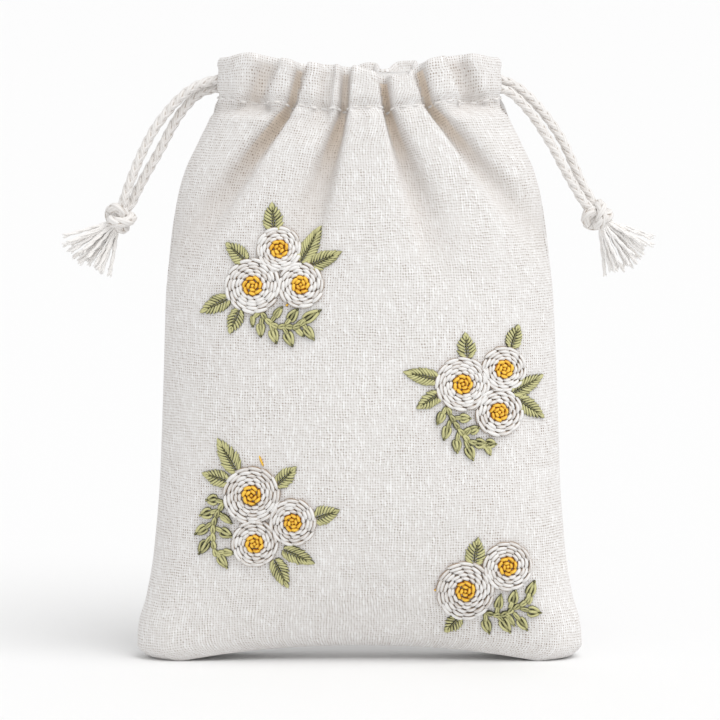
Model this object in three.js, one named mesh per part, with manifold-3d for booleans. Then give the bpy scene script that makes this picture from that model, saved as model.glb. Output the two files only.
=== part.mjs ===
// Drawstring pouch of plain linen that stands by itself: one hollow bag of cloth whose
// folded casing is gathered by two drawstrings, each tied off in a knot with a tassel.
// Millimetres, +Z up, the front faces -Y. The origin is on the floor under the middle of the bag.
import * as THREE from "three";
import { mergeVertices } from "three/addons/utils/BufferGeometryUtils.js";
import Module from "manifold-3d";

const wasm = await Module();
wasm.setup();

const { clamp, degToRad, lerp, smoothstep } = THREE.MathUtils;

// Cloth
const WALL = 1.2;
const HALF_COLUMNS = 48;
const FINE_STEPS = 240;
const MERGE_DISTANCE = 1e-4;

// Levels of the wall. halfWidth and halfDepth give the outline seen from above, squareness its
// roundness, lift how much higher the middle of a level lies than its ends, gather how much of
// the folds' depth the level has, and drop how much of the casing's sag.
const LEVELS = [
  { z: 0.0, halfWidth: 57.0, halfDepth: 10.5, squareness: 2.6, lift: 3.4, gather: 0, drop: 0 },
  { z: 0.9, halfWidth: 60.4, halfDepth: 13.6, squareness: 2.5, lift: 3.4, gather: 0, drop: 0 },
  { z: 3.8, halfWidth: 62.4, halfDepth: 16.0, squareness: 2.4, lift: 3.0, gather: 0, drop: 0 },
  { z: 9.0, halfWidth: 62.1, halfDepth: 17.8, squareness: 2.3, lift: 2.0, gather: 0, drop: 0 },
  { z: 18.0, halfWidth: 59.7, halfDepth: 20.2, squareness: 2.2, lift: 0.8, gather: 0, drop: 0 },
  { z: 31.0, halfWidth: 57.5, halfDepth: 22.6, squareness: 2.1, lift: 0, gather: 0, drop: 0 },
  { z: 50.0, halfWidth: 55.9, halfDepth: 24.3, squareness: 2.1, lift: 0, gather: 0, drop: 0 },
  { z: 74.0, halfWidth: 55.3, halfDepth: 24.6, squareness: 2.1, lift: 0, gather: 0, drop: 0 },
  { z: 98.0, halfWidth: 54.5, halfDepth: 24.0, squareness: 2.1, lift: 0, gather: 0.1, drop: 0 },
  { z: 115.0, halfWidth: 53.1, halfDepth: 23.0, squareness: 2.1, lift: 0, gather: 0.45, drop: 0.1 },
  { z: 129.0, halfWidth: 50.8, halfDepth: 21.6, squareness: 2.1, lift: 0, gather: 0.75, drop: 0.3 },
  { z: 137.5, halfWidth: 48.3, halfDepth: 20.9, squareness: 2.1, lift: 0, gather: 0.9, drop: 0.5 },
  { z: 145.0, halfWidth: 44.7, halfDepth: 20.2, squareness: 2.1, lift: 0, gather: 1, drop: 0.75 },
  { z: 152.0, halfWidth: 41.5, halfDepth: 19.5, squareness: 2.1, lift: 0, gather: 1, drop: 1 },
  { z: 157.2, halfWidth: 40.0, halfDepth: 18.8, squareness: 2.1, lift: 0, gather: 1, drop: 1 },
  { z: 161.5, halfWidth: 39.8, halfDepth: 18.7, squareness: 2.1, lift: 0, gather: 1, drop: 1 },
  { z: 166.8, halfWidth: 39.5, halfDepth: 18.3, squareness: 2.1, lift: 0, gather: 0.95, drop: 1 },
];
const STITCH_Z = 157.2;
const RIM_Z = 169.8;
const FLOOR_SHARE = 0.72;     // share of the half width where the arched underside leaves the floor

// Gathers. at is where the valley crosses the stitch line, foot and reach are the place and the
// height where it has faded out, depth and width its size at the stitch line.
const FRONT_FOLDS = [
  { at: -26.0, foot: -33, reach: 138, depth: 1.8, width: 3.6 },
  { at: -17.6, foot: -42, reach: 102, depth: 6.4, width: 2.9 },
  { at: -9.2, foot: -12, reach: 146, depth: 2.4, width: 2.0 },
  { at: -3.0, foot: -14, reach: 100, depth: 6.4, width: 2.5 },
  { at: 6.8, foot: 21, reach: 100, depth: 6.4, width: 2.4 },
  { at: 17.6, foot: 44, reach: 106, depth: 6.4, width: 2.8 },
  { at: 29.0, foot: 42, reach: 138, depth: 1.7, width: 3.6 },
];
const BACK_FOLDS = [
  { at: -29.0, foot: -41, reach: 136, depth: 2.0, width: 3.6 },
  { at: -20.0, foot: -38, reach: 108, depth: 6.0, width: 2.9 },
  { at: -9.5, foot: -19, reach: 102, depth: 6.4, width: 2.6 },
  { at: 1.0, foot: 3, reach: 106, depth: 6.0, width: 2.6 },
  { at: 11.5, foot: 22, reach: 102, depth: 6.4, width: 2.6 },
  { at: 22.5, foot: 39, reach: 110, depth: 5.6, width: 2.9 },
];
const FOLD_SPREAD = 1.8;      // how much wider a valley gets on its way down
const FOLD_LEAN = 0.3;        // the side of a valley towards the middle is steeper by this share
const FOLD_FADE = 1.05;       // power by which a valley's depth fades on its way down
const FOLD_SHARPNESS = 1.6;   // power of a valley's bell-shaped section
const RIM_FAN = 0.12;         // the valleys draw together towards the rim by this share
const FOLD_PULL = 0.45;       // how far a valley pulls the casing down, as a share of its depth
const CASING_SAG = 1.9;       // the casing hangs lower in the middle than near its ends
const SAG_REACH = [9, 30];    // distances from the middle between which the sag fades out
const RIM_CORNER = 1.3;       // the rim is lower again at its two ends
const CORNER_REACH = [31, 39.5];
const CORNER_Z = 160;
const RIM_ROUND = 2.3;        // height of the rounded rim over the wall's top level
const SHOULDER_REACH = 0.45;  // share of the way from the wall to the rim, seen from above
const SHOULDER_RISE = 0.78;   // share of the rim's rounding, seen from the side

// Casing: the cords run along a smooth ring in its tunnel, outside the casing's inner layer
const RUN_HALF_WIDTH = 33.1;
const RUN_HALF_DEPTH = 7.8;
const RUN_SQUARENESS = 2.5;
const INNER_HALF_WIDTH = 30.6;
const INNER_HALF_DEPTH = 5.9;
const INNER_SQUARENESS = 2.1;
const TUNNEL_FLOOR = 157.6;
const TUNNEL_ROOF = 165.5;
const TUNNEL_TOE = 0.5;       // the tunnel's outer edge starts this much higher than its floor
const CROWN_OFFSET = 1.6;     // the tunnel's crown, out from the inner layer
const CROWN_HEIGHT = 1.2;
const FLAP_DROP = 2.4;        // the inner layer starts this much below the rim
const FLAP_MIDDLE_Z = 162;

// Drawstrings
const CORD_DIAMETER = 3.1;
const CORD_SIDES = 8;
const CORD_STEP = 6.5;
const UPPER_RUN_Z = 163.7;
const LOWER_RUN_Z = 159.6;
const RUN_STEPS = 15;
const RUN_START = 0.16;       // share of half a turn between the slit and the start of the run
const RUN_SWAP = 0.1;         // share of half a turn on either side of the level change
const SLIT_HALF_WIDTH = 3.3;
const SLIT_DEPTH = 6;
const SLIT_MARGIN = 0.7;

// Route of each free strand in the plane of the side seams, from its slit to its knot
const STRAND_ROUTES = {
  left: {
    upper: [
      [-38.0, 162.3], [-41.0, 161.7], [-44.6, 160.5], [-48.0, 158.4], [-51.4, 155.3], [-54.3, 151.9],
      [-56.9, 148.3], [-59.2, 144.1], [-61.3, 139.7], [-63.1, 135.2], [-64.6, 131.2], [-65.7, 127.8],
    ],
    lower: [
      [-38.0, 159.6], [-41.0, 159.3], [-43.6, 158.5], [-46.0, 156.9], [-48.1, 154.7], [-50.4, 151.7],
      [-52.6, 148.0], [-54.9, 143.6], [-57.2, 139.5], [-59.7, 135.2], [-61.9, 131.0], [-63.6, 127.5],
    ],
  },
  right: {
    upper: [
      [38.0, 162.3], [41.0, 161.3], [43.6, 160.0], [46.4, 157.8], [49.2, 155.0], [52.0, 151.6],
      [54.7, 147.8], [57.0, 144.0], [58.9, 139.9], [60.7, 135.8], [62.6, 131.8], [64.8, 128.2],
    ],
    lower: [
      [38.0, 159.6], [41.0, 158.9], [43.5, 157.1], [46.3, 154.2], [49.0, 150.8], [51.5, 146.9],
      [53.7, 143.4], [55.7, 139.6], [57.8, 135.7], [59.7, 132.4], [61.3, 129.7], [62.9, 127.4],
    ],
  },
};
const SLIT_SPREAD = 1.3;      // the strands come from the front and the back of the casing
const KNOT_SPREAD = 1.7;      // and lie a little further apart where they enter the knot
const KNOT_SHARE = 0.35;      // share of the route after which the spread at the knot begins

// Knots and tassels
const KNOT_CENTRES = { left: [-66.6, 123.6], right: [66.1, 124.2] };
const TASSEL_TURN = { left: 224, right: 309 };
const KNOT_RADIUS = 2.5;
const KNOT_CORD_RADIUS = 1.05;
const KNOT_STRETCH = 1.5;
const KNOT_TURNS = 2;
const KNOT_WINDINGS = 3;
const KNOT_STEPS = 34;
const KNOT_SIDES = 7;
const GAP = 0.3;
const LOCK_RINGS = [
  { count: 1, tilt: 4, length: 13.5 },
  { count: 5, tilt: 19, length: 13.4 },
  { count: 8, tilt: 36, length: 13.0 },
];
const LOCK_RADIUS = 1.15;
const LOCK_SIDES = 6;
const LOCK_STEPS = 3;
const LOCK_ROOT = 0.6;
const LOCK_PHASE = 0.25;
const LOCK_DROOP = 1.2;
const TASSEL_DEPTH = 0.55;    // the fan is this much flatter from front to back
const HEAD_RADIUS = 2.0;
const HEAD_LENGTH = 2.4;
const HEAD_SIDES = 10;

function clothMaterial(colour, roughness) {
  return new THREE.MeshStandardMaterial({ color: colour, roughness, metalness: 0 });
}

const linen = clothMaterial(0xe2dfdc, 0.95);
const cotton = clothMaterial(0xdcd6cf, 0.9);

// Depth of the valleys at a place x and a height z
function valleyDepth(folds, x, z) {
  let depth = 0;
  for (const fold of folds) {
    const fade = clamp((STITCH_Z - z) / (STITCH_Z - fold.reach), 0, 1);
    const rise = Math.max(z - STITCH_Z, 0) / (RIM_Z - STITCH_Z);
    const centre = lerp(fold.at, fold.foot, fade) * (1 - RIM_FAN * rise);
    const lean = Math.sign((x - centre) * fold.at) * FOLD_LEAN;
    const width = fold.width * (1 + FOLD_SPREAD * fade) * (1 + lean);
    const section = Math.exp(-(Math.abs((x - centre) / width) ** FOLD_SHARPNESS));
    depth += fold.depth * (1 - fade) ** FOLD_FADE * section;
  }
  return depth;
}

// Sag of the casing towards the middle of the pouch
function casingSag(x) {
  return -CASING_SAG * (1 - smoothstep(Math.abs(x), ...SAG_REACH));
}

// A point of a rounded outline and its outward direction; turn runs from 0 at the left side seam
// to pi at the right one, and facing is -1 on the front, 1 on the back
function outlinePoint(halfWidth, halfDepth, squareness, turn, facing) {
  const along = -Math.cos(turn);
  const across = Math.sin(turn);
  const x = halfWidth * Math.sign(along) * Math.abs(along) ** (2 / squareness);
  const y = halfDepth * across ** (2 / squareness);
  const slopeX = Math.sign(x) * (Math.abs(x) / halfWidth) ** (squareness - 1) / halfWidth;
  const slopeY = (y / halfDepth) ** (squareness - 1) / halfDepth;
  const size = Math.hypot(slopeX, slopeY);
  return {
    point: new THREE.Vector3(x, facing * y, 0),
    outward: new THREE.Vector3(slopeX / size, facing * slopeY / size, 0),
  };
}

// The outer face of the cloth at one level and turn
function wallPoint(level, folds, facing, turn) {
  const { point, outward } = outlinePoint(
    level.halfWidth, level.halfDepth, level.squareness, turn, facing,
  );
  const valley = level.gather * valleyDepth(folds, point.x, level.z);
  const arch = 1 - Math.min(1, (point.x / (FLOOR_SHARE * level.halfWidth)) ** 2);
  const cornerShare = smoothstep(Math.abs(point.x), ...CORNER_REACH) * smoothstep(level.z, CORNER_Z, RIM_Z);
  const sag = level.drop * (casingSag(point.x) - FOLD_PULL * valley);
  point.addScaledVector(outward, -valley);
  point.z = level.z + level.lift * arch + sag - RIM_CORNER * cornerShare;
  return point;
}

// Points at even distances along a fine line
function evenlySpaced(fine, count) {
  const distances = [0];
  for (let i = 1; i < fine.length; i += 1) {
    distances.push(distances[i - 1] + fine[i].distanceTo(fine[i - 1]));
  }
  const points = [];
  let segment = 1;
  for (let k = 0; k <= count; k += 1) {
    const wanted = distances.at(-1) * k / count;
    while (segment < fine.length - 1 && distances[segment] < wanted) segment += 1;
    const share = (wanted - distances[segment - 1]) / (distances[segment] - distances[segment - 1]);
    points.push(fine[segment - 1].clone().lerp(fine[segment], share));
  }
  return points;
}

// A closed ring of points: the front from the left seam to the right one, then the back
function ring(pointAt) {
  const half = (facing) => {
    const fine = [];
    for (let i = 0; i <= FINE_STEPS; i += 1) {
      fine.push(pointAt(facing, Math.PI * i / FINE_STEPS));
    }
    return evenlySpaced(fine, HALF_COLUMNS);
  };
  return [...half(-1), ...half(1).slice(1, -1).reverse()];
}

function wallRing(level) {
  return ring((facing, turn) => wallPoint(level, facing < 0 ? FRONT_FOLDS : BACK_FOLDS, facing, turn));
}

// A ring on the tunnel side of the casing's inner layer, moved outwards by offset
function casingRing(offset, z) {
  return ring((facing, turn) => {
    const { point, outward } = outlinePoint(
      INNER_HALF_WIDTH, INNER_HALF_DEPTH, INNER_SQUARENESS, turn, facing,
    );
    point.addScaledVector(outward, offset);
    point.z = z + casingSag(point.x);
    return point;
  });
}

// Each ring moved into the cloth by a distance, along the direction that its surface faces
function insetRings(rings, distance) {
  const count = rings[0].length;
  return rings.map((row, i) => row.map((point, j) => {
    const above = rings[Math.min(i + 1, rings.length - 1)][j];
    const below = rings[Math.max(i - 1, 0)][j];
    const along = row[(j + 1) % count].clone().sub(row[(j + count - 1) % count]);
    const normal = along.cross(above.clone().sub(below)).normalize();
    return point.clone().addScaledVector(normal, -distance);
  }));
}

// The same, kept level and measured flat, for the walls of the casing's tunnel
function insetFlat(row, distance) {
  const count = row.length;
  return row.map((point, j) => {
    const along = row[(j + 1) % count].clone().sub(row[(j + count - 1) % count]);
    const outward = new THREE.Vector3(along.y, -along.x, 0).normalize();
    return point.clone().addScaledVector(outward, -distance);
  });
}

function geometryFrom(points, triangles) {
  const geometry = new THREE.BufferGeometry();
  geometry.setFromPoints(points);
  geometry.setIndex(triangles);
  return geometry;
}

// Quads between following rings, as triangles
function skin(rings, closed) {
  const count = rings[0].length;
  const triangles = [];
  const bands = closed ? rings.length : rings.length - 1;
  for (let i = 0; i < bands; i += 1) {
    const low = i * count;
    const high = ((i + 1) % rings.length) * count;
    for (let j = 0; j < count; j += 1) {
      const next = (j + 1) % count;
      triangles.push(low + j, low + next, high + next, low + j, high + next, high + j);
    }
  }
  return triangles;
}

// A ring closed by strips from the front to the back, facing down or up
function floorStrips(first, facingDown) {
  const count = 2 * HALF_COLUMNS;
  const triangles = [];
  const add = (a, b, c) => triangles.push(...(facingDown ? [a, b, c] : [a, c, b]));
  for (let j = 0; j < HALF_COLUMNS; j += 1) {
    const front = first + j;
    const back = first + (count - j) % count;
    const nextBack = first + count - j - 1;
    if (front !== back) add(front, back, front + 1);
    if (front + 1 !== nextBack) add(front + 1, back, nextBack);
  }
  return triangles;
}

function solidOf(geometry) {
  const bare = geometry.clone();
  bare.deleteAttribute("normal");
  bare.deleteAttribute("uv");
  const merged = mergeVertices(bare, MERGE_DISTANCE);
  return new wasm.Manifold(new wasm.Mesh({
    numProp: 3,
    vertProperties: new Float32Array(merged.attributes.position.array),
    triVerts: new Uint32Array(merged.index.array),
  }));
}

function geometryOf(solid) {
  const mesh = solid.getMesh();
  const geometry = new THREE.BufferGeometry();
  geometry.setAttribute("position", new THREE.BufferAttribute(mesh.vertProperties, 3));
  geometry.setIndex(new THREE.BufferAttribute(mesh.triVerts, 1));
  return geometry;
}

// The bag's cloth: up the outside, over the rim, down the inner layer of the casing and the inside
function bagGeometry() {
  const outside = LEVELS.map(wallRing);
  const inside = insetRings(outside, WALL);
  const flapTop = casingRing(-WALL, RIM_Z - FLAP_DROP);
  const rim = outside.at(-1).map((point, j) => {
    const top = point.clone().lerp(flapTop[j], 0.5);
    top.z += RIM_ROUND;
    return top;
  });
  const shoulder = outside.at(-1).map((point, j) => {
    const top = point.clone().lerp(rim[j], SHOULDER_REACH);
    top.z = lerp(point.z, rim[j].z, SHOULDER_RISE);
    return top;
  });
  const flap = [flapTop, casingRing(-WALL, FLAP_MIDDLE_Z), casingRing(-WALL, STITCH_Z)];
  const wallLevels = inside.slice(0, LEVELS.findIndex((level) => level.z === STITCH_Z));
  const rings = [...outside, shoulder, rim, ...flap, ...wallLevels.reverse()];
  const triangles = [
    ...skin(rings, false),
    ...floorStrips(0, true),
    ...floorStrips((rings.length - 1) * 2 * HALF_COLUMNS, false),
  ];
  return geometryFrom(rings.flat(), triangles);
}

// The space inside the casing where the cords run
function tunnelGeometry() {
  const wallAt = (z) => insetFlat(wallRing({ ...LEVELS.at(-2), z }), WALL);
  const rings = [
    wallAt(TUNNEL_FLOOR + TUNNEL_TOE),
    wallAt(TUNNEL_ROOF),
    casingRing(CROWN_OFFSET, TUNNEL_ROOF + CROWN_HEIGHT),
    casingRing(0, TUNNEL_ROOF),
    casingRing(0, TUNNEL_FLOOR),
  ];
  return geometryFrom(rings.flat(), skin(rings, true));
}

// A side slit in the casing, seen from the side an upright slot
function slitGeometry(side) {
  const bottom = LOWER_RUN_Z - CORD_DIAMETER / 2 - SLIT_MARGIN;
  const height = UPPER_RUN_Z + CORD_DIAMETER / 2 + SLIT_MARGIN - bottom;
  const slot = new THREE.BoxGeometry(SLIT_DEPTH, 2 * SLIT_HALF_WIDTH, height);
  slot.translate(side * LEVELS.at(-2).halfWidth, 0, bottom + height / 2);
  return slot;
}

function pouchBody() {
  const hollow = solidOf(tunnelGeometry()).add(solidOf(slitGeometry(-1))).add(solidOf(slitGeometry(1)));
  return geometryOf(solidOf(bagGeometry()).subtract(hollow));
}

// A cord along points
function cordGeometry(points) {
  const path = new THREE.CatmullRomCurve3(points, false, "centripetal");
  const section = new THREE.Shape();
  section.absarc(0, 0, CORD_DIAMETER / 2, 0, 2 * Math.PI);
  return new THREE.ExtrudeGeometry(section, {
    steps: Math.round(path.getLength() / CORD_STEP),
    curveSegments: CORD_SIDES / 2,
    extrudePath: path,
    bevelEnabled: false,
  });
}

// The run of a cord through the casing, from its own slit round the far end and back: it lies
// high on the front and low on the back, or the other way round, so that two runs never cross
function casingRun(mirror, frontZ, backZ) {
  const points = [];
  for (let k = 0; k <= 2 * RUN_STEPS; k += 1) {
    const facing = k <= RUN_STEPS ? -1 : 1;
    const share = (facing < 0 ? k : 2 * RUN_STEPS - k) / RUN_STEPS;
    const turn = Math.PI * lerp(RUN_START, 1, share);
    const { point } = outlinePoint(RUN_HALF_WIDTH, RUN_HALF_DEPTH, RUN_SQUARENESS, turn, facing);
    const z = lerp(frontZ, backZ, smoothstep(k / RUN_STEPS, 1 - RUN_SWAP, 1 + RUN_SWAP));
    points.push(point.set(mirror * point.x, point.y, z + casingSag(point.x)));
  }
  return points;
}

function drawstring(side) {
  const routes = STRAND_ROUTES[side];
  const frontHigh = side === "left";
  const strand = (route, facing) => route.map(([x, z], k) => {
    const share = k / (route.length - 1);
    const spread = lerp(SLIT_SPREAD, KNOT_SPREAD, smoothstep(share, KNOT_SHARE, 1));
    return new THREE.Vector3(x, facing * spread, z);
  });
  const front = strand(frontHigh ? routes.upper : routes.lower, -1);
  const back = strand(frontHigh ? routes.lower : routes.upper, 1);
  const run = frontHigh
    ? casingRun(1, UPPER_RUN_Z, LOWER_RUN_Z)
    : casingRun(-1, LOWER_RUN_Z, UPPER_RUN_Z);
  return cordGeometry([...front.reverse(), ...run, ...back]);
}

// An overhand knot, seen as a closed cord that winds twice round its middle
function knotGeometry() {
  const knot = new THREE.TorusKnotGeometry(
    KNOT_RADIUS, KNOT_CORD_RADIUS, KNOT_STEPS, KNOT_SIDES, KNOT_TURNS, KNOT_WINDINGS,
  );
  knot.scale(1, 1, KNOT_STRETCH);
  return geometryOf(solidOf(knot));
}

function lockGeometry(tilt, roll, length) {
  const lean = Math.sin(degToRad(tilt));
  const start = new THREE.Vector3(0, 0, LOCK_ROOT);
  const end = new THREE.Vector3(
    length * lean * Math.cos(roll),
    TASSEL_DEPTH * length * lean * Math.sin(roll),
    length * Math.cos(degToRad(tilt)),
  );
  const middle = start.clone().lerp(end, 0.5);
  middle.z += LOCK_DROOP;
  const section = new THREE.Shape();
  section.absarc(0, 0, LOCK_RADIUS, 0, 2 * Math.PI);
  return new THREE.ExtrudeGeometry(section, {
    steps: LOCK_STEPS,
    curveSegments: LOCK_SIDES / 2,
    extrudePath: new THREE.CatmullRomCurve3([start, middle, end]),
    bevelEnabled: false,
  });
}

// A tassel: locks of loose cord ends fused to their bound head, pointing along +Z
function tasselGeometry() {
  const head = new THREE.CylinderGeometry(HEAD_RADIUS, HEAD_RADIUS, HEAD_LENGTH, HEAD_SIDES);
  head.rotateX(Math.PI / 2);
  head.translate(0, 0, HEAD_LENGTH / 2);
  let tassel = solidOf(head);
  for (const { count, tilt, length } of LOCK_RINGS) {
    for (let k = 0; k < count; k += 1) {
      const roll = 2 * Math.PI * (k + LOCK_PHASE) / count;
      tassel = tassel.add(solidOf(lockGeometry(tilt, roll, length)));
    }
  }
  return geometryOf(tassel);
}

function named(name, geometry, material) {
  const mesh = new THREE.Mesh(geometry, material);
  mesh.name = name;
  return mesh;
}

// A knot and its tassel share one axis, which points away from the strands
function cordEnd(side) {
  const [x, z] = KNOT_CENTRES[side];
  const end = new THREE.Group();
  end.position.set(x, 0, z);
  end.rotation.y = Math.PI / 2 - degToRad(TASSEL_TURN[side]);
  const tassel = named(`tassel_${side}`, tasselGeometry(), cotton);
  tassel.position.z = KNOT_STRETCH * (KNOT_RADIUS / 2 + KNOT_CORD_RADIUS) + GAP;
  end.add(named(`knot_${side}`, knotGeometry(), cotton), tassel);
  return end;
}

const pouch = new THREE.Group();
pouch.name = "drawstring_pouch";
pouch.add(named("pouch_body", pouchBody(), linen));
for (const side of ["left", "right"]) {
  pouch.add(named(`drawstring_${side}`, drawstring(side), cotton), cordEnd(side));
}

export default pouch;
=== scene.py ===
# %% [markdown]
# # An embroidered linen pouch
# The pouch is one bag of linen, gathered by two braided drawstrings that end in knots and tassels,
# with roses sewn on its front. The frame holds its solids at their real size. This lesson dresses
# them: every piece is a surface worked out with numpy in millimetres and put into the frame in metres.

import math

import bmesh
import bpy
import numpy as np
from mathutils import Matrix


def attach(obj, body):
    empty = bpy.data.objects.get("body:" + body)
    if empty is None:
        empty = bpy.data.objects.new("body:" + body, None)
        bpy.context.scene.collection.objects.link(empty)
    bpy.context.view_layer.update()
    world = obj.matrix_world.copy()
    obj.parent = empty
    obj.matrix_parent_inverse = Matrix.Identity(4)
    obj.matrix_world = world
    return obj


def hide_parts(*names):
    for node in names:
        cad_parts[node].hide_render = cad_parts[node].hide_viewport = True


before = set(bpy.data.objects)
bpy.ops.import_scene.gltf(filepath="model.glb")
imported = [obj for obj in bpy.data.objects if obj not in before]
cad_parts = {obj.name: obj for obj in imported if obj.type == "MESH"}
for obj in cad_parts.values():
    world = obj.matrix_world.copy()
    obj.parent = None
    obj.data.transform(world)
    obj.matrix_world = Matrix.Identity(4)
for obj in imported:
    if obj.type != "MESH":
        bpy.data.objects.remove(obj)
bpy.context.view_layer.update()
print("CAD nodes:", sorted(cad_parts))

# %% [markdown]
# ## The camera
# A photographer stands about a metre away with a long lens and looks slightly down. The photograph
# gives the scale on the upright plane through the side seams, and the scale gives the lens. The same
# numbers also turn a pixel of the photograph into a line of sight, which the embroidery needs later.

# %% Camera at the photograph's angle
MM = 0.001
PHOTO_PIXELS = 720
PIXELS_PER_MM = 3.58
MIDDLE_PIXEL = 359.5
FLOOR_PIXEL = 660
CAMERA_DISTANCE = 1150
CAMERA_PITCH = math.radians(5.5)
SENSOR = 36


def put_in_scene(name, data):
    """A new object around its data, linked to the scene at the origin."""
    thing = bpy.data.objects.new(name, data)
    bpy.context.scene.collection.objects.link(thing)
    return thing


half_frame = PHOTO_PIXELS / 2
focal_pixels = PIXELS_PER_MM * CAMERA_DISTANCE
aim_x = (half_frame - MIDDLE_PIXEL) / PIXELS_PER_MM
aim_z = (FLOOR_PIXEL - half_frame) / PIXELS_PER_MM
sight = np.array([0, math.cos(CAMERA_PITCH), -math.sin(CAMERA_PITCH)])
above = np.array([0, math.sin(CAMERA_PITCH), math.cos(CAMERA_PITCH)])
eye = np.array([aim_x, 0, aim_z]) - CAMERA_DISTANCE * sight

lens = bpy.data.cameras.new("camera")
lens.sensor_width = SENSOR
lens.lens = SENSOR * focal_pixels / PHOTO_PIXELS
camera = put_in_scene("camera", lens)
camera.location = eye * MM
camera.rotation_euler = (math.pi / 2 - CAMERA_PITCH, 0, 0)
bpy.context.scene.camera = camera
bpy.context.scene.view_settings.view_transform = "Standard"
print(f"lens {lens.lens:.0f} mm, eye at {camera.location[:]}")

# %% [markdown]
# ## Grids into meshes
# Cloth, yarn and stitches are all grids of points: rows along the piece and columns round it. One helper
# turns any such grid into quads and gives it a UV map, so each piece only has to say where its points
# lie. A grid whose end row shrinks to a point or a line is welded there, which closes it.

# %% Small helpers for arrays
def unit(vectors):
    """Each vector divided by its own length."""
    return vectors / np.linalg.norm(vectors, axis=-1, keepdims=True)


def smoothstep(x, low, high):
    """0 below low, 1 above high, and t * t * (3 - 2 t) of the share t between them."""
    t = np.clip((x - low) / (high - low), 0, 1)
    return t * t * (3 - 2 * t)


def cubic(t, low, high, start, end):
    """From low to high while t goes from 0 to 1, with the slopes start and end: a cubic in t."""
    leaving = (1 + 2 * t) * (1 - t) ** 2 * low + t * (1 - t) ** 2 * start
    return leaving + t * t * (3 - 2 * t) * high + t * t * (t - 1) * end


def turns(count):
    """Even angles once round, as a column."""
    return np.linspace(0, 2 * np.pi, count, endpoint=False)[:, None]


# %% From grids to pieces of the frame
WELD_DISTANCE = 1e-7


def lattice(points):
    """Quads over copies of a grid that closes round, from the shape (copies, rows, columns, 3).

    Each quad joins a point, its right neighbour and the two points of the next row, and the last
    column joins the first. Also gives the row and column of each corner, counted without wrapping.
    """
    copies, rows, columns = points.shape[:3]
    row, column = np.meshgrid(np.arange(rows - 1), np.arange(columns), indexing="ij")
    corner_row = np.stack([row, row, row + 1, row + 1], -1).reshape(-1, 4)
    corner_column = np.stack([column, column + 1, column + 1, column], -1).reshape(-1, 4)
    quads = corner_row * columns + corner_column % columns
    first = np.arange(copies)[:, None, None] * rows * columns
    corners = [np.tile(corner, (copies, 1)) for corner in (corner_row, corner_column)]
    return points.reshape(-1, 3), (quads + first).reshape(-1, 4), *corners


def add_piece(name, points, material, tint, uv=None, replaced=()):
    """Makes a piece from a grid or copies of one, in millimetres, and fastens it to the frame.

    tint is one number for each copy or each point, kept as an attribute. uv maps the corners' rows
    and columns to a pair; without it the UV is the share of the way round and along.
    """
    points = points.reshape(-1, *points.shape[-3:])
    vertices, quads, rows, columns = lattice(points)
    mesh = bpy.data.meshes.new(name)
    mesh.vertices.add(len(vertices))
    mesh.vertices.foreach_set("co", (vertices * MM).ravel())
    mesh.loops.add(quads.size)
    mesh.loops.foreach_set("vertex_index", quads.ravel().astype(np.int32))
    mesh.polygons.add(len(quads))
    mesh.polygons.foreach_set("loop_start", np.arange(0, quads.size, 4, dtype=np.int32))
    mesh.polygons.foreach_set("use_smooth", np.ones(len(quads), bool))
    place = uv(rows, columns) if uv else (columns / points.shape[2], rows / (points.shape[1] - 1))
    layer = mesh.uv_layers.new(name="UVMap")
    layer.data.foreach_set("uv", np.stack(place, -1).astype(np.float32).ravel())
    shade = np.broadcast_to(np.reshape(tint, (len(points), -1)), (len(points), points[0, ..., 0].size))
    attribute = mesh.attributes.new("tint", "FLOAT", "POINT")
    attribute.data.foreach_set("value", shade.astype(np.float32).ravel())
    mesh.update(calc_edges=True)
    welded = bmesh.new()
    welded.from_mesh(mesh)
    bmesh.ops.remove_doubles(welded, verts=welded.verts, dist=WELD_DISTANCE)
    welded.to_mesh(mesh)
    welded.free()
    mesh.materials.append(material)
    piece = put_in_scene(name, mesh)
    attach(piece, "root")
    if replaced:
        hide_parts(*replaced)
    print(f"{name}: {len(mesh.polygons)} faces")
    return piece


# %% [markdown]
# ## Nodes in few words
# A procedural finish is a small sum written in nodes. Wiring each node by hand hides that sum, so a few
# helpers keep it readable: one adds a node and feeds its sockets in order, one does arithmetic, and one
# adds up values by their weights.

# %% Helpers for materials
SPECULAR_LEVEL = 0.25
SHEEN_ROUGHNESS = 0.5


def start_material(name, roughness, sheen):
    """A new material with its shader; what is the same all over is set on the shader's own sockets."""
    material = bpy.data.materials.new(name)
    material.use_nodes = True
    shader = material.node_tree.nodes["Principled BSDF"]
    shader.inputs["Roughness"].default_value = roughness
    shader.inputs["Specular IOR Level"].default_value = SPECULAR_LEVEL
    shader.inputs["Sheen Weight"].default_value = sheen
    shader.inputs["Sheen Roughness"].default_value = SHEEN_ROUGHNESS
    return material, material.node_tree, shader


def wire(tree, kind, *sources, **settings):
    """Adds a node, sets its settings, and feeds its inputs in order: sockets are linked, values set.

    Gives the node's first output, or the one that output names.
    """
    output = settings.pop("output", 0)
    node = tree.nodes.new(kind)
    for name, value in settings.items():
        setattr(node, name, value)
    for socket, source in zip(node.inputs, sources):
        if isinstance(source, bpy.types.NodeSocket):
            tree.links.new(source, socket)
        elif source is not None:
            socket.default_value = source
    return node.outputs[output]


def maths(tree, operation, *terms):
    """One step of arithmetic."""
    return wire(tree, "ShaderNodeMath", *terms, operation=operation)


def weighted_sum(tree, start, *terms):
    """start plus every value times its weight."""
    total = start
    for value, weight in terms:
        total = maths(tree, "MULTIPLY_ADD", value, weight, total)
    return total


def ease(tree, value, low, high, start=0.0, end=1.0):
    """The smooth step from start to end while value goes from low to high."""
    return wire(tree, "ShaderNodeMapRange", value, low, high, start, end, interpolation_type="SMOOTHSTEP")


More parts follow.
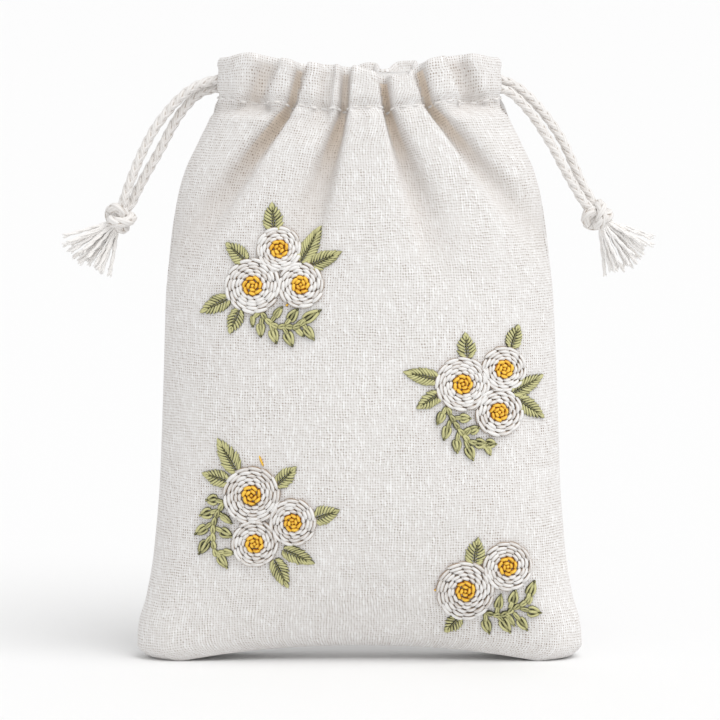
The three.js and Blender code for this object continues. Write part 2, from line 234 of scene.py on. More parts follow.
# %% Helpers for patterns and colours
def parts(tree, vector):
    """The three numbers of a vector, as sockets."""
    split = tree.nodes.new("ShaderNodeSeparateXYZ")
    tree.links.new(vector, split.inputs[0])
    return split.outputs


def uv_map(tree):
    """The piece's own UV map."""
    return wire(tree, "ShaderNodeUVMap", uv_map="UVMap")


def tint_of(tree):
    """The number that each copy or point of a piece keeps as its tint."""
    return wire(tree, "ShaderNodeAttribute", attribute_name="tint", output="Fac")


def noise(tree, place, scale, detail, roughness, output=0):
    """Smooth random values; a larger scale gives a finer grain."""
    return wire(tree, "ShaderNodeTexNoise", place, None, scale, detail, roughness, output=output)


def mix_colour(tree, share, first, second):
    """The colour that lies the given share of the way from the first to the second."""
    skipped = [None] * 5
    return wire(tree, "ShaderNodeMix", share, *skipped, first, second, data_type="RGBA", output=2)


def add_bump(tree, shader, height, strength, distance):
    """Tilts the shading by a height field, in metres for a height of one."""
    bump = tree.nodes.new("ShaderNodeBump")
    bump.inputs["Strength"].default_value = strength
    bump.inputs["Distance"].default_value = distance
    tree.links.new(height, bump.inputs["Height"])
    tree.links.new(bump.outputs[0], shader.inputs["Normal"])


# %% [markdown]
# ## Spun yarn
# Cord, tassels and embroidery floss are all spun: fine plies lie at a slant round the thread. The UV
# map counts once round the thread and runs along it, so stripes of round plus a little along are the
# plies. Painted shade darkens the grooves between them and the flanks where threads touch, a painted
# highlight lightens their crests, and the tint of each copy varies its shade.

# %% One function for all threads
FIBRE_SCALE = 2600
THREAD_LIGHT = 0.3
TINT_WEIGHT = 0.35
PLY_WEIGHT = 0.25
FIBRE_WEIGHT = 0.4
PLY_BUMP = 0.6
PLY_GROOVE = 0.00012


def thread_material(name, deep, pale, plies, slant, roughness=0.8, sheen=0.3, flank_shade=0.5, edge=4.0):
    """Light = ply stripe |sin(pi (plies round + slant along))| + the copy's tint + fine noise - flanks.

    The flanks are |cos(2 pi round)|^edge: painted shade on the two sides of a thread, which lie against
    its neighbours. The stripe is painted shade in the grooves of the plies and a painted highlight on
    their crests. The light then chooses a colour between the deep and the pale one.
    """
    material, tree, shader = start_material(name, roughness, sheen)
    around, along, _ = parts(tree, uv_map(tree))
    turned = weighted_sum(tree, 0.0, (along, slant), (around, plies))
    stripe = maths(tree, "ABSOLUTE", maths(tree, "SINE", maths(tree, "MULTIPLY", turned, math.pi)))
    sides = maths(tree, "ABSOLUTE", maths(tree, "COSINE", maths(tree, "MULTIPLY", around, 2 * math.pi)))
    # Painted shade on the two flanks of a thread, and through the stripe in the grooves of its plies.
    flanks = maths(tree, "POWER", sides, edge)
    fibre = noise(tree, wire(tree, "ShaderNodeTexCoord", output="Object"), FIBRE_SCALE, 2.0, 0.5)
    light = weighted_sum(
        tree, THREAD_LIGHT, (tint_of(tree), TINT_WEIGHT), (stripe, PLY_WEIGHT), (fibre, FIBRE_WEIGHT),
        (flanks, -flank_shade))
    colour = mix_colour(tree, ease(tree, light, 0.0, 1.0), (*deep, 1.0), (*pale, 1.0))
    tree.links.new(colour, shader.inputs["Base Color"])
    add_bump(tree, shader, stripe, PLY_BUMP, PLY_GROOVE)
    print(f"{name}: {len(tree.nodes)} nodes")
    return material


# The deep colours are painted shade: on the flanks of the cord's yarns and in the grooves of all plies.
cotton_cord = thread_material(
    "cotton_cord", deep=(0.50, 0.43, 0.37), pale=(0.86, 0.84, 0.82), plies=6, slant=14, flank_shade=0.7, edge=10)
cotton_yarn = thread_material(
    "cotton_yarn", deep=(0.88, 0.80, 0.72), pale=(0.95, 0.935, 0.92), plies=4, slant=14, flank_shade=0.0)

# %% [markdown]
# ## The drawstrings
# Each drawstring is a round cord that leaves the casing at a side slit as two strands and hangs down to
# its knot. The routes are the photograph's, listed point by point. A cord could be a plain tube with
# stripes, but a braid catches light on every yarn, so the yarns are modelled: eight, four each way round.

# %% Routes of the free strands, as x and z from the slit to the knot
STRAND_ROUTES = {
    ("left", "upper"): [
        (-38, 162.3), (-41, 161.7), (-44.6, 160.5), (-48, 158.4), (-51.4, 155.3), (-54.3, 151.9),
        (-56.9, 148.3), (-59.2, 144.1), (-61.3, 139.7), (-63.1, 135.2), (-64.6, 131.2), (-65.7, 127.8)],
    ("left", "lower"): [
        (-38, 159.6), (-41, 159.3), (-43.6, 158.5), (-46, 156.9), (-48.1, 154.7), (-50.4, 151.7),
        (-52.6, 148), (-54.9, 143.6), (-57.2, 139.5), (-59.7, 135.2), (-61.9, 131), (-63.6, 127.5)],
    ("right", "upper"): [
        (38, 162.3), (41, 161.3), (43.6, 160), (46.4, 157.8), (49.2, 155), (52, 151.6),
        (54.7, 147.8), (57, 144), (58.9, 139.9), (60.7, 135.8), (62.6, 131.8), (64.8, 128.2)],
    ("right", "lower"): [
        (38, 159.6), (41, 158.9), (43.5, 157.1), (46.3, 154.2), (49, 150.8), (51.5, 146.9),
        (53.7, 143.4), (55.7, 139.6), (57.8, 135.7), (59.7, 132.4), (61.3, 129.7), (62.9, 127.4)],
}
KNOT_CENTRES = {"left": np.array([-66.6, 0, 123.6]), "right": np.array([66.1, 0, 124.2])}
FRONT_STRANDS = {("left", "upper"), ("right", "lower")}
SLIT_SPREAD = 1.3
KNOT_SPREAD = 1.7
SPREAD_FROM = 0.35
INTO_KNOT = 0.6
print(len(STRAND_ROUTES), "strands")

# %% Smooth paths through picked points
SPAN_SAMPLES = 24
STRAND_STEP = 0.4


def even_path(fine, step):
    """Points at even distances, about one step apart, along a fine line."""
    distance = np.r_[0, np.cumsum(np.linalg.norm(np.diff(fine, axis=0), axis=1))]
    wanted = np.linspace(0, distance[-1], max(2, round(distance[-1] / step)) + 1)
    return np.stack([np.interp(wanted, distance, axis) for axis in fine.T], -1)


def smooth_path(points, step):
    """A centripetal Catmull-Rom curve through the points, then resampled at even steps.

    Each span is the cubic whose end slopes blend the neighbouring chords, weighted by the square
    roots of their lengths; past either end the last chord is repeated.
    """
    p = np.vstack([2 * points[0] - points[1], points, 2 * points[-1] - points[-2]])
    root = np.linalg.norm(np.diff(p, axis=0), axis=1)[:, None] ** 0.5
    before, span, after = root[:-2], root[1:-1], root[2:]
    chord = np.diff(p, axis=0) / root
    start = (chord[:-2] - (p[2:-1] - p[:-3]) / (before + span) + chord[1:-1]) * span
    end = (chord[1:-1] - (p[3:] - p[1:-2]) / (span + after) + chord[2:]) * span
    t = np.linspace(0, 1, SPAN_SAMPLES, endpoint=False)[:, None, None]
    curve = cubic(t, p[1:-2], p[2:-1], start, end)
    return even_path(np.vstack([curve.swapaxes(0, 1).reshape(-1, 3), points[-1:]]), step)


def path_length(path):
    """The sum of the distances from point to point."""
    return np.linalg.norm(np.diff(path, axis=0), axis=1).sum()


def strand_points(side, layer):
    """The route with its depth: one strand lies before the seam plane and one behind it, a little
    further apart at the knot, and both end inside the knot."""
    route = np.array(STRAND_ROUTES[side, layer])
    share = np.linspace(0, 1, len(route))
    depth = SLIT_SPREAD + (KNOT_SPREAD - SLIT_SPREAD) * smoothstep(share, SPREAD_FROM, 1)
    facing = -1 if (side, layer) in FRONT_STRANDS else 1
    points = np.stack([route[:, 0], facing * depth, route[:, 1]], -1)
    last = points[-1] + INTO_KNOT * (KNOT_CENTRES[side] - points[-1])
    return np.vstack([points, last])


strands = {key: smooth_path(strand_points(*key), STRAND_STEP) for key in STRAND_ROUTES}
for key, path in strands.items():
    print("strand", key, f"{path_length(path):.1f} mm")

# %% [markdown]
# ## The braid
# In such a braid a yarn climbs round the cord and passes over two yarns that come the other way,
# then under two. A cosine of the distance gives that wave, and the two hands take opposite signs, so
# the yarns never meet. Each yarn is a flat bundle of fibres, bent round the cord: an ellipse carried
# along its own helix, whose sides drop by half the square of their distance over the cord's radius.

# %% A braid along any path
BRAID_LEAD = 14
BRAID_YARNS = 4
YARN_WIDTH = 1.6
YARN_THICKNESS = 0.60
YARN_CORE = 1.0
YARN_WAVE = 0.14


def shut_ends(steps):
    """1 along a thread and 0 at its two ends, where the section shrinks to a point."""
    size = np.ones((steps, 1, 1))
    size[[0, -1]] = 0
    return size


def braid(path, reference, scale=1.0, sides=8):
    """Yarns round a path, half of them each way, as grids of the shape (yarns, steps, sides, 3).

    Yarn i of n of a hand h has the angle 2 pi i / n + h 2 pi s / lead at the distance s, and the
    radius core + h wave cos(pi (n s / lead + h (i - 1/4))): over two crossings, then under two.
    """
    distance = np.arange(len(path)) * path_length(path) / (len(path) - 1)
    tangent = unit(np.gradient(path, axis=0))
    side = unit(np.cross(reference, tangent))
    up = np.cross(tangent, side)
    hand = np.array([1, -1])[:, None, None]
    index = np.arange(BRAID_YARNS)[None, :, None]
    lead_share = distance / (BRAID_LEAD * scale)
    angle = 2 * np.pi * (index / BRAID_YARNS + hand * lead_share)
    wave = np.cos(np.pi * (BRAID_YARNS * lead_share + hand * (index - 0.25)))
    radius = scale * (YARN_CORE + hand * YARN_WAVE * wave)
    outward = np.cos(angle)[..., None] * side + np.sin(angle)[..., None] * up
    middle = path + radius[..., None] * outward
    along = unit(np.gradient(middle, axis=2))
    across = unit(np.cross(outward, along))
    raised = np.cross(along, across)
    width = scale * YARN_WIDTH / 2 * np.cos(turns(sides))
    height = scale * YARN_THICKNESS / 2 * np.sin(turns(sides)) - width ** 2 / (2 * scale * YARN_CORE)
    section = width * across[..., None, :] + height * raised[..., None, :]
    return (middle[..., None, :] + shut_ends(len(path)) * section).reshape(-1, len(path), sides, 3)


# %% The four free strands
CORD_SEED = 3
TOWARDS_BACK = np.array([0.0, 1.0, 0.0])

cord_tints = np.random.default_rng(CORD_SEED).uniform(0.2, 0.8, 2 * BRAID_YARNS)
for (side, layer), path in strands.items():
    add_piece(
        f"cord_{side}_{layer}", braid(path, TOWARDS_BACK), cotton_cord, tint=cord_tints,
        replaced=[f"drawstring_{side}"])

# %% [markdown]
# ## The run inside the casing
# Between its two strands each cord goes once round the mouth, hidden in the casing. It lies on a smooth
# ring, high on one half and low on the other, so that the two cords never cross.

# %% The ring of the casing
CASING_SAG = 1.9
SAG_FADE = (9, 30)


def casing_sag(x):
    """The casing hangs lower in the middle: minus the sag within 9 mm, fading out at 30 mm."""
    return -CASING_SAG * (1 - smoothstep(np.abs(x), *SAG_FADE))


def rounded_outline(half_width, half_depth, squareness, turn):
    """A superellipse: x = -W sign(cos) |cos|^(2/n) and y = D sin^(2/n), from the left seam to the right."""
    along = -np.cos(turn)
    across = np.clip(np.sin(turn), 0, 1)
    x = half_width * np.sign(along) * np.abs(along) ** (2 / squareness)
    return x, half_depth * across ** (2 / squareness)


# %% Hidden runs
RUN_HALF_WIDTH = 33.1
RUN_HALF_DEPTH = 7.8
RUN_SQUARENESS = 2.5
UPPER_RUN_Z = 163.7
LOWER_RUN_Z = 159.6
RUN_START = 0.16
RUN_SAMPLES = 31
RUN_CHANGE = (0.9, 1.1)
RUN_STEP = 1.0
RUN_SIDES = 6
UPWARDS = np.array([0.0, 0.0, 1.0])


def casing_run(mirror, front_z, back_z):
    """Once round the ring, from the slit along the front to the far end and back along the back."""
    share = np.linspace(0, 2, RUN_SAMPLES)
    turn = np.pi * (RUN_START + (1 - RUN_START) * np.where(share <= 1, share, 2 - share))
    x, y = rounded_outline(RUN_HALF_WIDTH, RUN_HALF_DEPTH, RUN_SQUARENESS, turn)
    z = front_z + (back_z - front_z) * smoothstep(share, *RUN_CHANGE) + casing_sag(x)
    return np.stack([mirror * x, np.where(share <= 1, -y, y), z], -1)


for side, mirror, front_z, back_z in (("left", 1, UPPER_RUN_Z, LOWER_RUN_Z),
                                      ("right", -1, LOWER_RUN_Z, UPPER_RUN_Z)):
    ends = [strand_points(side, layer)[0] for layer in ("upper", "lower")]
    ends = ends if (side, "upper") in FRONT_STRANDS else ends[::-1]
    run = smooth_path(np.vstack([ends[0], casing_run(mirror, front_z, back_z), ends[1]]), RUN_STEP)
    add_piece(f"cord_{side}_run", braid(run, UPWARDS, sides=RUN_SIDES), cotton_cord,
              tint=cord_tints, replaced=[f"drawstring_{side}"])

# %% [markdown]
# ## The knots
# The two ends of a cord are tied together in an overhand knot, which from outside is a trefoil pulled
# tight: a cord that winds twice round the axis while it dips in and out three times. The same braid
# follows that path, so the yarns of the cord can be read on the knot.

# %% Knots on the tassels' axes
TASSEL_TURN = {"left": 230, "right": 309}
KNOT_RADIUS = 2.15
KNOT_STRETCH = 1.9
KNOT_SCALE = 1.2
KNOT_SAMPLES = 600
KNOT_STEP = 0.3


def turned_axes(side):
    """Directions of a knot: across in the seam plane, towards the back, and along the tassel."""
    turn = math.radians(TASSEL_TURN[side])
    along = np.array([math.cos(turn), 0, math.sin(turn)])
    return np.stack([np.cross(TOWARDS_BACK, along), TOWARDS_BACK, along])


def knot_path(side):
    """A trefoil: radius R (2 + cos 3q) / 2 at the angle 2q, and the height R sin 3q / 2, stretched."""
    q = np.linspace(0, 2 * np.pi, KNOT_SAMPLES)
    radius = KNOT_RADIUS * (2 + np.cos(3 * q)) / 2
    height = KNOT_STRETCH * KNOT_RADIUS * np.sin(3 * q) / 2
    local = np.stack([radius * np.cos(2 * q), radius * np.sin(2 * q), height], -1)
    return KNOT_CENTRES[side] + even_path(local, KNOT_STEP) @ turned_axes(side)


for side in KNOT_CENTRES:
    knot = braid(knot_path(side), turned_axes(side)[2], scale=KNOT_SCALE)
    add_piece(f"braided_knot_{side}", knot, cotton_cord, tint=cord_tints,
                            replaced=[f"knot_{side}"])

# %% [markdown]
# ## The tassels
# Past the knot the cord is undone into its yarns, which fan out. Each yarn is two plies wound round
# each other, a little looser at the cut end. A hair system could make hundreds of lines, but there are
# few yarns and each one can be seen, so they are modelled.

# %% The yarns' middle lines
TASSEL_YARNS = 25
TASSEL_STEPS = 30
TASSEL_SPREAD = math.radians(36)
TASSEL_FLATNESS = 0.38
TASSEL_LENGTH = 14.8
TASSEL_START = 2.6
NECK_RADIUS = 1.4
GOLDEN_TURN = math.pi * (3 - math.sqrt(5))
YARN_BEND = np.array([1.1, 0.66, 0.33])
tassel_share = np.linspace(0, 1, TASSEL_STEPS)[None, :, None]


def yarn_middles(rng):
    """Each yarn leaves the neck at its own tilt and bends: root + d u + bend (u^2 - u), u from 0 to 1.

    The yarns turn round the neck by the golden angle, which spreads any number of them evenly.
    """
    order = np.arange(TASSEL_YARNS)
    tilt = TASSEL_SPREAD * np.sqrt((order + 0.5) / TASSEL_YARNS)
    roll = order * GOLDEN_TURN + rng.uniform(-0.2, 0.2, TASSEL_YARNS)
    length = TASSEL_LENGTH * rng.uniform(0.9, 1.06, TASSEL_YARNS)
    spread = np.stack([np.cos(roll), TASSEL_FLATNESS * np.sin(roll)], -1)
    lean = np.sin(tilt)[:, None] * spread
    direction = np.concatenate([lean, np.cos(tilt)[:, None]], -1) * length[:, None]
    ring = NECK_RADIUS * np.sqrt(order / TASSEL_YARNS)[:, None] * spread
    root = np.concatenate([ring, np.zeros((TASSEL_YARNS, 1))], -1)
    bend = rng.normal(0, 1, (TASSEL_YARNS, 3)) * YARN_BEND
    bowed = bend[:, None] * (tassel_share * tassel_share - tassel_share)
    return root[:, None] + direction[:, None] * tassel_share + bowed


# %% Fans of two-ply yarn
TASSEL_SEEDS = {"left": 11, "right": 12}
PLY_SIDES = 6
PLY_RADIUS = 0.37
PLY_OFFSET = 0.18
PLY_LEAD = 8
END_LOOSENING = 0.3
LOOSE_FROM = 0.88
END_TAPER = 0.85
PLY_REFERENCE = np.array([0.3, 1.0, 0.2])


def tassel_grid(side, seed):
    """Two plies for each yarn: circles on a double helix of the ply's offset, which opens at the cut end."""
    rng = np.random.default_rng(seed)
    middle = yarn_middles(rng)
    along = unit(np.gradient(middle, axis=1))
    across = unit(np.cross(PLY_REFERENCE, along))[:, None]
    raised = np.cross(along[:, None], across)
    phase = rng.uniform(0, 2 * np.pi, (TASSEL_YARNS, 1)) + np.array([0, np.pi])
    wind = phase[..., None, None] + 2 * np.pi * TASSEL_LENGTH / PLY_LEAD * tassel_share[:, None]
    loose = PLY_OFFSET + END_LOOSENING * smoothstep(tassel_share[:, None], LOOSE_FROM, 1)
    ply = middle[:, None] + loose * (np.cos(wind) * across + np.sin(wind) * raised)
    size = PLY_RADIUS * shut_ends(TASSEL_STEPS)
    size[-2] *= END_TAPER
    turn = turns(PLY_SIDES)
    section = np.cos(turn) * across[..., None, :] + np.sin(turn) * raised[..., None, :]
    local = (ply[..., None, :] + size * section).reshape(-1, TASSEL_STEPS, PLY_SIDES, 3)
    axes = turned_axes(side)
    return KNOT_CENTRES[side] + TASSEL_START * axes[2] + local @ axes


for side, seed in TASSEL_SEEDS.items():
    add_piece(
        f"yarn_tassel_{side}", tassel_grid(side, seed), cotton_yarn,
        tint=np.random.default_rng(seed).uniform(0.1, 0.9, 2 * TASSEL_YARNS), replaced=[f"tassel_{side}"])

print("declared", len(strands), "free cords")

# %% [markdown]
# ## Linen
# Plain weave is two sets of threads that go over and under each other. Linen threads are uneven: each
# has its own thickness, with thick places called slubs, so small gaps open where four thin stretches
# meet. The UV map of the bag counts threads, so the pattern bends with the cloth into every fold.

# %% One set of threads
SLUB_APART = 3.7
SLUB_STRETCH = 0.22
HALF_THREAD = 0.29
HALF_SPREAD = 0.06
THREAD_EDGE = 0.08
THREAD_ROUNDNESS = 2.6


def thread_set(tree, across, along, seed, uneven):
    """Threads side by side: number = floor(across), and off = distance from the thread's middle.

    The half thickness is a random part for each thread plus slow noise along it. Gives the number,
    the cover, 1 on the thread and 0 beside it, the round top of its section, and the noise.
    """
    number = maths(tree, "FLOOR", across)
    counted = maths(tree, "ADD", number, seed)
    shade = wire(tree, "ShaderNodeTexWhiteNoise", None, counted, noise_dimensions="1D")
    place = wire(tree, "ShaderNodeCombineXYZ", maths(tree, "MULTIPLY", number, SLUB_APART),
                 maths(tree, "MULTIPLY", along, SLUB_STRETCH), seed)
    slub = noise(tree, place, 1.0, 2.0, 0.6)
    off = maths(tree, "ABSOLUTE", maths(tree, "SUBTRACT", maths(tree, "FRACT", across), 0.5))
    half = weighted_sum(tree, HALF_THREAD - uneven / 2, (slub, uneven), (shade, HALF_SPREAD))
    cover = ease(tree, maths(tree, "SUBTRACT", off, half), -THREAD_EDGE, THREAD_EDGE, 1.0, 0.0)
    height = weighted_sum(tree, 1.0, (maths(tree, "MULTIPLY", off, off), -THREAD_ROUNDNESS))
    return number, cover, maths(tree, "MULTIPLY", height, cover), slub


# %% [markdown]
# No thread lies quite straight, so noise first pushes the counts about. Where the numbers of the two
# threads add up to an even number, the warp lies on top, and elsewhere the weft. Every crossing has its
# own shade and every gap its own depth of painted shade. Deep in the folds painted shade makes the cloth
# duller, warmed near the casing as if by light bounced from linen to linen; the tint says how deep a point
# of the cloth lies.

# %% The finish of the cloth
SWAYS = ((0.05, 1.8), (0.35, 0.7))
WARP = {"seed": 5.0, "uneven": 0.48}
WEFT = {"seed": 61.0, "uneven": 0.36}
LINEN_DARK = -0.33
# The two height weights paint shade on the sides of each thread and on the under thread, and light on the
# tops.
HEIGHT_WEIGHT = 0.39
RAISED_WEIGHT = 0.17
SLUB_WEIGHT = 0.41
CROSSING_WEIGHT = 0.22
FUZZ_WEIGHT = 0.62
SHADED_CREAM = (0.62, 0.585, 0.555, 1.0)
BRIGHT_CREAM = (0.905, 0.90, 0.895, 1.0)
# Painted shade in the folds: grey, and warm near the casing as if from light bounced between linen.
FOLD_SHADE_GREY = (0.58, 0.53, 0.49, 1.0)
FOLD_SHADE_WARM = (0.75, 0.60, 0.44, 1.0)
# The brown of the gaps is painted shade: the dark seen through the holes of the weave.
GAP_SHADE = (0.22, 0.14, 0.09, 1.0)
WARM_FROM = 0.132
WARM_ABOVE = 0.157
WARM_TINTS = (0.45, 0.60)
BRIGHT_SLUBS = (0.45, 0.75)
FUZZ_NOISE = (1.3, 2.0, 0.6)
OPEN_NOISE = (0.07, 3.0, 0.6)
OPEN_RANGE = (0.32, 0.62, 0.35, 1.0)
GAP_RANGE = (0.0, 0.9)
WEAVE_BUMP = (0.12, 0.0002)


def random_pair(tree, first, second):
    """One random value for each pair of whole numbers."""
    pair = wire(tree, "ShaderNodeCombineXYZ", first, second, 1.0)
    return wire(tree, "ShaderNodeTexWhiteNoise", pair, noise_dimensions="2D")


def swayed_counts(tree, uv):
    """The thread counts of the UV map, each pushed aside by a slow and a finer noise."""
    u, v, _ = parts(tree, uv)
    for scale, reach in SWAYS:
        aside, ahead, _ = parts(tree, noise(tree, uv, scale, 1.0, 0.5, output="Color"))
        u = weighted_sum(tree, u, (aside, reach))
        v = weighted_sum(tree, v, (ahead, reach))
    return u, v


def painted_fold_shade(tree, cream):
    """The cream, and by the tint the painted shade of the hollows: grey, and warm as if from bounced light
    where it is deep and high up.
    """
    fold_shade = tint_of(tree)
    _, _, height = parts(tree, wire(tree, "ShaderNodeTexCoord", output="Object"))
    high = ease(tree, height, WARM_FROM, WARM_ABOVE)
    warm = maths(tree, "MULTIPLY", high, ease(tree, fold_shade, *WARM_TINTS))
    return mix_colour(tree, fold_shade, cream, mix_colour(tree, warm, FOLD_SHADE_GREY, FOLD_SHADE_WARM))


def linen_material():
    """Colour = gap brown, painted shade in the holes, where neither set covers, else thread cream by height
    and shade; bump = height.

    The light of the cream is a weighted sum of the higher thread's height and the upper thread's height,
    which paint shade on the threads' sides and light on their tops, the bright slubs of the warp, a
    random shade for each crossing, and fine noise as the fuzz.
    """
    material, tree, shader = start_material("linen", roughness=0.95, sheen=0.2)
    uv = uv_map(tree)
    u, v = swayed_counts(tree, uv)
    warp, warp_cover, warp_top, warp_slub = thread_set(tree, u, v, **WARP)
    weft, weft_cover, weft_top, _ = thread_set(tree, v, u, **WEFT)
    both = maths(tree, "MULTIPLY", maths(tree, "ADD", warp, weft), 0.5)
    odd = maths(tree, "MULTIPLY", maths(tree, "FRACT", both), 2.0)
    height = maths(tree, "MAXIMUM", warp_top, weft_top)
    raised = wire(tree, "ShaderNodeMix", odd, None, warp_top, weft_top)
    bright = maths(tree, "MULTIPLY", ease(tree, warp_slub, *BRIGHT_SLUBS), warp_top)
    crossing = random_pair(tree, warp, weft)
    fuzz = noise(tree, uv, *FUZZ_NOISE)
    light = weighted_sum(
        tree, LINEN_DARK, (height, HEIGHT_WEIGHT), (raised, RAISED_WEIGHT), (bright, SLUB_WEIGHT),
        (crossing, CROSSING_WEIGHT), (fuzz, FUZZ_WEIGHT))
    cream = painted_fold_shade(tree, mix_colour(tree, light, SHADED_CREAM, BRIGHT_CREAM))

    beside = [maths(tree, "SUBTRACT", 1.0, cover) for cover in (warp_cover, weft_cover)]
    gap = maths(tree, "MULTIPLY", *beside)
    open_places = noise(tree, uv, *OPEN_NOISE)
    gap = maths(tree, "MULTIPLY", gap, ease(tree, open_places, *OPEN_RANGE))
    corner = random_pair(tree, *[maths(tree, "FLOOR", maths(tree, "ADD", way, 0.5)) for way in (u, v)])
    gap = maths(tree, "MULTIPLY", gap, ease(tree, corner, *GAP_RANGE))
    # The gaps take the brown of painted shade.
    tree.links.new(mix_colour(tree, gap, cream, GAP_SHADE), shader.inputs["Base Color"])
    add_bump(tree, shader, height, *WEAVE_BUMP)
    print(f"linen: {len(tree.nodes)} nodes")
    return material


linen = linen_material()

# %% [markdown]
# ## The bag
# The bag stands on its two lower corners, with the edge between them drawn in and lifted. Above it swells
# softly and narrows to the casing, where the drawstrings gather it in folds. Cloth could be simulated from
# two flat panels, but the photograph's own folds would not come out. So the wall is a formula: an outline
# at each height, with valleys subtracted from it.

# %% Levels of the wall
LEVEL_COLUMNS = ("z", "half_width", "half_depth", "squareness", "lift", "pinch", "gather", "drop")
LEVELS = np.array([
    (0, 57, 12, 2.6, 4, 0.57, 0, 0), (0.9, 60, 13.6, 2.5, 4, 0.52, 0, 0),
    (3.8, 62.5, 16.3, 2.4, 3.6, 0.47, 0, 0), (9, 62.2, 18.4, 2.3, 2.6, 0.40, 0, 0),
    (18, 59.8, 20.6, 2.2, 0.9, 0.25, 0, 0), (31, 57.5, 22.7, 2.1, 0, 0.12, 0, 0),
    (50, 55.9, 24.3, 2.1, 0, 0.03, 0, 0), (74, 55.3, 24.6, 2.1, 0, 0, 0, 0),
    (98, 54.5, 24, 2.1, 0, 0, 0.25, 0), (115, 53.1, 23, 2.1, 0, 0, 0.7, 0.1),
    (129, 50.8, 21.6, 2.1, 0, 0, 0.95, 0.3), (137.5, 48.3, 20.9, 2.1, 0, 0, 1, 0.5),
    (145, 44.7, 20.2, 2.1, 0, 0, 1, 0.75), (152, 41.5, 19.5, 2.1, 0, 0, 1, 1),
    (157.2, 40, 18.8, 2.1, 0, 0, 1, 1), (161.5, 39.8, 18.7, 2.1, 0, 0, 1, 1),
    (166.8, 39.5, 18.3, 2.1, 0, 0, 0.95, 1)])
STITCH_Z = 157.2
WALL_TOP = 166.8
RIM_Z = 169.8


def monotone(x, known_x, known_y):
    """The cubic through known values whose slope at each is the harmonic mean of its neighbours' slopes.

    Where the neighbours' slopes have opposite signs the slope is nil, so the curve never overshoots.
    """
    step = np.diff(known_x)
    rise = np.diff(known_y) / step
    same = rise[1:] * rise[:-1] > 0
    total = np.where(same, rise[1:] + rise[:-1], 1)
    inner = np.where(same, 2 * rise[1:] * rise[:-1] / total, 0)
    slope = np.r_[rise[0], inner, rise[-1]]
    k = np.clip(np.searchsorted(known_x, x, side="right") - 1, 0, len(step) - 1)
    t = (x - known_x[k]) / step[k]
    return cubic(t, known_y[k], known_y[k + 1], step[k] * slope[k], step[k] * slope[k + 1])


def level_at(z):
    """Every column of the level table at the heights z."""
    return {name: monotone(z, LEVELS[:, 0], LEVELS[:, k]) for k, name in enumerate(LEVEL_COLUMNS)}


print(len(LEVELS), "levels up to", WALL_TOP, "mm")

# %% [markdown]
# A fold is a valley that is narrow and deep under the stitch line and runs out, wider and softer, at its
# foot in the body. Each row below gives its x at the stitch line and at its foot, the height of the foot,
# its depth, its half width, and the share of the depth that it keeps in the casing.

# %% Folds of the gathered cloth
FRONT_FOLDS = np.array([
    (-28.4, -28, 152, 4.3, 2.7, 1), (-18.4, -54, 105, 7.6, 1.35, 0.65), (-9.4, -12, 146, 2.2, 1.9, 1),
    (-3.9, -18, 104, 7.2, 1.3, 0.65), (7.2, 24, 102, 6.3, 1.25, 0.9), (18.6, 58, 106, 6.2, 1.35, 0.85),
    (30.6, 31, 152, 3.7, 2.7, 1)])
BACK_FOLDS = np.array([
    (-31, -41, 136, 2, 2.6, 1), (-22, -38, 108, 7.2, 1.4, 1), (-13, -20, 102, 7.6, 1.3, 1),
    (-4.4, -6, 106, 7.4, 1.3, 1), (8, 17, 102, 7.6, 1.3, 1), (21, 36, 110, 7.2, 1.4, 1)])
EASE_BELOW = 14
EASE_ABOVE = 2
FOLD_SPREAD = 4
FOLD_LEAN = 0.35
FOLD_FADE = 0.85
FOLD_STEEPNESS = 7
FOLD_SOFTENING = 4.8
RIM_FAN = 0.18


def valley_depth(folds, x, z):
    """The sum over folds of depth (1 - fade)^a / (1 + |(x - centre) / width|^b): trenches with steep sides.

    fade goes from 0 at the stitch line to 1 at the fold's foot; centre, width and steepness follow it.
    The side towards the bag's middle is the steeper one. In the casing the fold keeps only its
    casing share of the depth.
    """
    at, foot, reach, depth, width, casing = folds.T
    x, z = x[..., None], z[..., None]
    fade = np.clip((STITCH_Z - z) / (STITCH_Z - reach), 0, 1)
    rise = np.maximum(z - STITCH_Z, 0) / (RIM_Z - STITCH_Z)
    centre = (at + (foot - at) * fade) * (1 - RIM_FAN * rise)
    lean = 1 + np.sign((x - centre) * at) * FOLD_LEAN
    off = np.abs((x - centre) / (width * (1 + FOLD_SPREAD * fade) * lean))
    section = 1 / (1 + off ** (FOLD_STEEPNESS - FOLD_SOFTENING * np.sqrt(fade)))
    kept = 1 + (casing - 1) * smoothstep(z, STITCH_Z - EASE_BELOW, STITCH_Z + EASE_ABOVE)
    return (depth * kept * (1 - fade) ** FOLD_FADE * section).sum(-1)


print(len(FRONT_FOLDS), "folds in front,", len(BACK_FOLDS), "behind")

# %% [markdown]
# Small things make the wall look like cloth. The running stitch draws a puckered furrow under the casing,
# the side slits pinch the cloth where the cords come out, the side seams lie in a shallow groove, and
# broad ripples cross the body.

# %% Furrows and ripples
PUCKER_DEPTH = 1.1
PUCKER_REACH = 1.5
PUCKER_SPACING = 5.2
PUCKER_SIZE = 0.3
SLIT_PINCH = 3.2
SLIT_REACH = 1.7
SLIT_HEIGHTS = (157.4, 159, 165, 166.6)
SEAM_DEPTH = 0.25
SEAM_REACH = 0.9
SEAM_START = (2, 8)
RIPPLE_START = (8, 40)
RIPPLE_END = (120, 150)
LONG_RIPPLE = 0.30
SHORT_RIPPLE = 0.22


